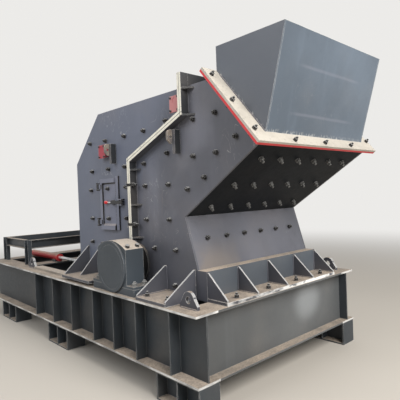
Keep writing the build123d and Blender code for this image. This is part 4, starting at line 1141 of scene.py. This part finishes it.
class CRUSHER_OT_cover_screws(bpy.types.Operator):
    """Four screws in the corners of each square cover"""

    bl_idname = "crusher.cover_screws"
    bl_label = "Cover screws"

    def execute(self, context):
        flats = context.scene.crusher_bolts.screw_flats
        shape = bolt_shape(flats, flats * 0.5, 0.0, 0.001, 0.0015)
        face = SIDE + 0.050
        places, normals = [], []
        for side in BOTH_WAYS:
            for station, height in COVER_CORNERS:
                for along in SCREWS_ALONG:
                    for rise in SCREWS_UP:
                        places.append(at(side * face, station + along, height + rise))
                        normals.append((side, 0.0, 0.0))
        make_piece("cover_screws", *repeated(shape, places, normals, 16), "bolt", "rear_housing")
        return {"FINISHED"}


def gusset_welds(welds):
    """Seams of the gussets: where each meets its wall and its foot, on both of its sides."""
    seams = []
    wall, front_top, side_top = 0.222, 0.218, 0.231
    low, foot = FOOT_TOP + 0.002, FOOT_TOP
    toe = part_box("front_foot_flange")[0].y - FRONT + 0.008
    for index, x in enumerate(FRONT_GUSSETS):
        for side in BOTH_WAYS:
            face = x + side * GUSSET_HALF
            if abs(face) > SIDE - 0.004:
                continue
            across = (side, 0.0, 0.0)
            seams += [
                bead(at(face, wall, front_top), at(face, wall, low), across, FORWARD, welds, index),
                bead(at(face, toe, foot), at(face, wall, foot), across, UP, welds, index + 9),
            ]
    first, last = SIDE_GUSSETS
    for side in BOTH_WAYS:
        plate, edge, outward = side * SIDE, side * (SIDE + 0.300), (side, 0.0, 0.0)
        for face, end in ((first + GUSSET_HALF, 1.0), (last - GUSSET_HALF, -1.0)):
            along = (0.0, end, 0.0)
            seams += [
                bead(at(plate, face, side_top), at(plate, face, low), along, outward, welds, 31),
                bead(at(plate, face, foot), at(edge, face, foot), along, UP, welds, 32),
            ]
    return joined(*seams)


def beam_welds(welds):
    """Seams of the stiffeners against the webs and the upper flanges of the side beams."""
    seams = []
    half, depth, flange, reach = 0.006, 0.480, -0.016, 0.095
    for side in BOTH_WAYS:
        web, edge = side * WEB_FACE, side * (WEB_FACE + reach)
        for station in STIFFENERS:
            for end in BOTH_WAYS:
                face, along = station + end * half, (0.0, end, 0.0)
                seams += [
                    bead(at(web, face, -0.020), at(web, face, -depth), along, (side, 0.0, 0.0), welds, 40),
                    bead(at(web, face, flange), at(edge, face, flange), along, DOWN, welds, 41),
                ]
    return joined(*seams)


def bracket_welds(welds):
    """Seams round the lifting lugs, the side foot flanges and the joint flanges."""
    seams = []
    lug, lug_half, lug_reach = 0.950, 0.0125, 0.093
    lower, upper = SPLIT - FRONT - JOINT_FLANGE, 0.355
    for side in BOTH_WAYS:
        for station in LUGS:
            for end in BOTH_WAYS:
                x = side * lug + end * lug_half
                ends = at(x, station - lug_reach, 0.0), at(x, station + lug_reach, 0.0)
                seams.append(bead(*ends, (end, 0.0, 0.0), UP, welds, 50, 1.2))
        plate, outward = side * SIDE, (side, 0.0, 0.0)
        seams += [
            bead(at(plate, 0.362, FOOT_TOP), at(plate, 0.706, FOOT_TOP), outward, UP, welds, 51),
            bead(at(plate, lower, 1.125), at(plate, lower, 0.43), outward, FORWARD, welds, 52),
            bead(at(plate, upper, 1.645), at(plate, upper, 1.45), outward, FORWARD, welds, 53),
        ]
    return joined(*seams)


def hopper_welds(welds):
    """Seams of the hopper's sides on their flange, between two distances behind the mouth's toe."""
    half = -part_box("hopper_sides")[0].x
    near, far = 0.050 + 0.0117, 0.485 - 0.0137
    toe, heel = (MOUTH_TOE + MOUTH_RUN * (back / MOUTH_RUN[1]) for back in (near, far))
    return joined(*(
        bead((side * half, toe[1], toe[2]), (side * half, heel[1], heel[2]), (side, 0.0, 0.0),
             MOUTH_NORMAL, welds, 60)
        for side in BOTH_WAYS
    ))


class CRUSHER_OT_weld_seams(bpy.types.Operator):
    """Weld beads of the gussets, stiffeners, lugs, joint flanges and hopper"""

    bl_idname = "crusher.weld_seams"
    bl_label = "Weld seams"

    def execute(self, context):
        welds = context.scene.crusher_welds
        for name, seams, paint in (
            ("gusset_welds", gusset_welds, "weld"), ("beam_welds", beam_welds, "beam_weld"),
            ("bracket_welds", bracket_welds, "weld"), ("hopper_welds", hopper_welds, "weld"),
        ):
            make_piece(name, *seams(welds), paint, "frame", smooth=True)
        return {"FINISHED"}


class CRUSHER_OT_rotor_pins(bpy.types.Operator):
    """Ends of the hammer pins on the outer discs of the rotor"""

    bl_idname = "crusher.rotor_pins"
    bl_label = "Hammer pin ends"

    def execute(self, context):
        low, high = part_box("rotor_discs")
        middle_y, middle_z = (low.y + high.y) / 2, (low.z + high.z) / 2
        shape = turned_shape([(0.028, 0.0, 0), (0.028, 0.010, 0), (0.024, 0.014, 0)])
        circle = 0.255
        places, normals = [], []
        for side in BOTH_WAYS:
            for quarter in range(4):
                angle = radians(45 + 90 * quarter)
                places.append((side * high.x, middle_y + circle * cos(angle), middle_z + circle * sin(angle)))
                normals.append((side, 0.0, 0.0))
        make_piece("hammer_pin_ends", *repeated(shape, places, normals, 17), "iron", "rotor")
        return {"FINISHED"}


def add_lamp(name, place, target, size, power, tint):
    """Square area lamp at a place, turned to a target."""
    data = bpy.data.lights.new(name, "AREA")
    data.shape = "SQUARE"
    data.size = size
    data.energy = power
    data.color = tint
    lamp = bpy.data.objects.new(name, data)
    lamp.location = place
    lamp.rotation_euler = (Vector(target) - Vector(place)).to_track_quat("-Z", "Y").to_euler()
    bpy.context.scene.collection.objects.link(lamp)


def add_camera():
    """Camera fitted to the photograph: level, then turned right, dipped and rolled."""
    yaw, dip, roll = CAMERA_YAW, CAMERA_DIP, CAMERA_ROLL
    forward = np.array([sin(yaw) * cos(dip), cos(yaw) * cos(dip), -sin(dip)])
    level = np.array([cos(yaw), -sin(yaw), 0.0])
    upward = np.cross(level, forward)
    right = level * cos(roll) + upward * sin(roll)
    top = upward * cos(roll) - level * sin(roll)
    data = bpy.data.cameras.new("photo_camera")
    data.sensor_width = SENSOR_WIDTH
    data.lens = CAMERA_FOCAL * SENSOR_WIDTH
    data.clip_end = 200.0
    camera = bpy.data.objects.new("photo_camera", data)
    turn = Matrix((right, top, -forward)).transposed().to_4x4()
    camera.matrix_world = Matrix.Translation(CAMERA_PLACE) @ turn
    bpy.context.scene.collection.objects.link(camera)
    bpy.context.scene.camera = camera


def fading_floor(coat, tint, roughness, far):
    """Floor that keeps shadows near the machine and fades to a flat colour far from it."""
    away = coat.node("ShaderNodeVectorMath", {"operation": "LENGTH"}, {0: coat.coordinates.outputs["Object"]})
    mask = Field(coat, away.outputs["Value"]).rise(3.5, 13.0)
    diffuse = coat.node("ShaderNodeBsdfPrincipled", None, {"Base Color": tint, "Roughness": roughness})
    flat = coat.node("ShaderNodeEmission", None, {"Color": (*far, 1.0), "Strength": 1.0})
    mixed = coat.node("ShaderNodeMixShader", None, {
        0: mask * coat.seen(), 1: diffuse.outputs[0], 2: flat.outputs[0]
    })
    coat.node("ShaderNodeOutputMaterial", None, {"Surface": mixed.outputs[0]})
    return coat.material


def add_world(strength, far):
    """Even light, with a flat pale colour as the background."""
    world = bpy.data.worlds.new("studio_world")
    nodes = Nodes(world)
    backdrop = nodes.node("ShaderNodeBackground", None, {"Color": (*far, 1.0)})
    light = nodes.node("ShaderNodeBackground", None, {"Color": (0.93, 0.96, 1.0, 1.0), "Strength": strength})
    mixed = nodes.node("ShaderNodeMixShader", None, {
        0: nodes.seen(), 1: light.outputs[0], 2: backdrop.outputs[0]
    })
    nodes.node("ShaderNodeOutputWorld", None, {"Surface": mixed.outputs[0]})
    bpy.context.scene.world = world


class CRUSHER_OT_stage(bpy.types.Operator):
    """Pale floor, soft lamps and the camera at the photograph's angle"""

    bl_idname = "crusher.stage"
    bl_label = "Floor, lamps and camera"

    def execute(self, context):
        settings = context.scene.crusher_stage
        coat = Coat("studio_floor")
        cloud = coat.noise(0.5, 4.0)
        tint = coat.over(shade(settings.floor, 0.97), cloud, shade(settings.floor, 1.02))
        material = fading_floor(coat, tint, 0.75 + 0.1 * cloud, settings.far)
        across = 9
        u = np.linspace(-30.0, 30.0, across)
        x, y = np.meshgrid(u, u)
        points = np.stack([x, y, np.full_like(x, -0.001)], axis=-1).reshape(-1, 3)
        row, column = np.meshgrid(np.arange(across - 1), np.arange(across - 1), indexing="ij")
        corner = (row * across + column).reshape(-1, 1)
        faces = (corner + np.array([0, 1, across + 1, across])).tolist()
        mesh = bpy.data.meshes.new("studio_floor")
        mesh.from_pydata(points.tolist(), [], faces)
        mesh.materials.append(material)
        floor = bpy.data.objects.new("studio_floor", mesh)
        context.scene.collection.objects.link(floor)
        add_lamp("key_lamp", (-1.2, -7.8, 6.2), (0.0, 0.0, 1.2), 5.0, settings.key, (1.0, 0.99, 0.97))
        add_lamp("side_lamp", (-7.0, 0.3, 6.4), (0.0, 0.0, 1.0), 5.0, settings.side, (0.95, 0.97, 1.0))
        add_lamp("top_lamp", (0.0, 0.5, 8.0), (0.0, 0.0, 0.0), 6.0, settings.top, (1.0, 1.0, 1.0))
        add_world(settings.world, settings.far)
        add_camera()
        context.scene.view_settings.view_transform = "Standard"
        return {"FINISHED"}


class CRUSHER_PT_panel(bpy.types.Panel):
    """Buttons for each group of pieces"""

    bl_label = "Hammer crusher"
    bl_idname = "CRUSHER_PT_panel"
    bl_space_type = "VIEW_3D"
    bl_region_type = "UI"
    bl_category = "Crusher"

    def draw(self, context):
        """A button for each step, and a box with the settings of each group."""
        for name in STEPS:
            self.layout.operator(f"crusher.{name}")
        for group in GROUPS:
            box = self.layout.box()
            settings = getattr(context.scene, group)
            for key in settings.bl_rna.properties.keys():
                if key not in ("rna_type", "name"):
                    box.prop(settings, key)


STEPS = (
    "stage", "paint", "liner_bolts", "slope_bolts", "mouth_bolts", "foot_bolts", "bearing_bolts",
    "swing_bolts", "knobs", "cover_screws", "weld_seams", "rotor_pins",
)
GROUPS = {
    "crusher_paint": CrusherPaint, "crusher_bolts": CrusherBolts, "crusher_welds": CrusherWelds,
    "crusher_stage": CrusherStage,
}
CLASSES = (
    *GROUPS.values(), CRUSHER_OT_stage, CRUSHER_OT_paint, CRUSHER_OT_liner_bolts, CRUSHER_OT_slope_bolts,
    CRUSHER_OT_mouth_bolts, CRUSHER_OT_foot_bolts, CRUSHER_OT_bearing_bolts, CRUSHER_OT_swing_bolts,
    CRUSHER_OT_knobs, CRUSHER_OT_cover_screws, CRUSHER_OT_weld_seams, CRUSHER_OT_rotor_pins, CRUSHER_PT_panel,
)


def register():
    """Make the classes and their settings known to Blender."""
    for cls in CLASSES:
        bpy.utils.register_class(cls)
    for name, group in GROUPS.items():
        setattr(bpy.types.Scene, name, bpy.props.PointerProperty(type=group))


def unregister():
    """Take the settings and the classes away again."""
    for name in GROUPS:
        delattr(bpy.types.Scene, name)
    for cls in reversed(CLASSES):
        bpy.utils.unregister_class(cls)


def main():
    """Build the whole scene step by step."""
    register()
    for name in STEPS:
        getattr(bpy.ops.crusher, name)()


if __name__ == "__main__":
    main()
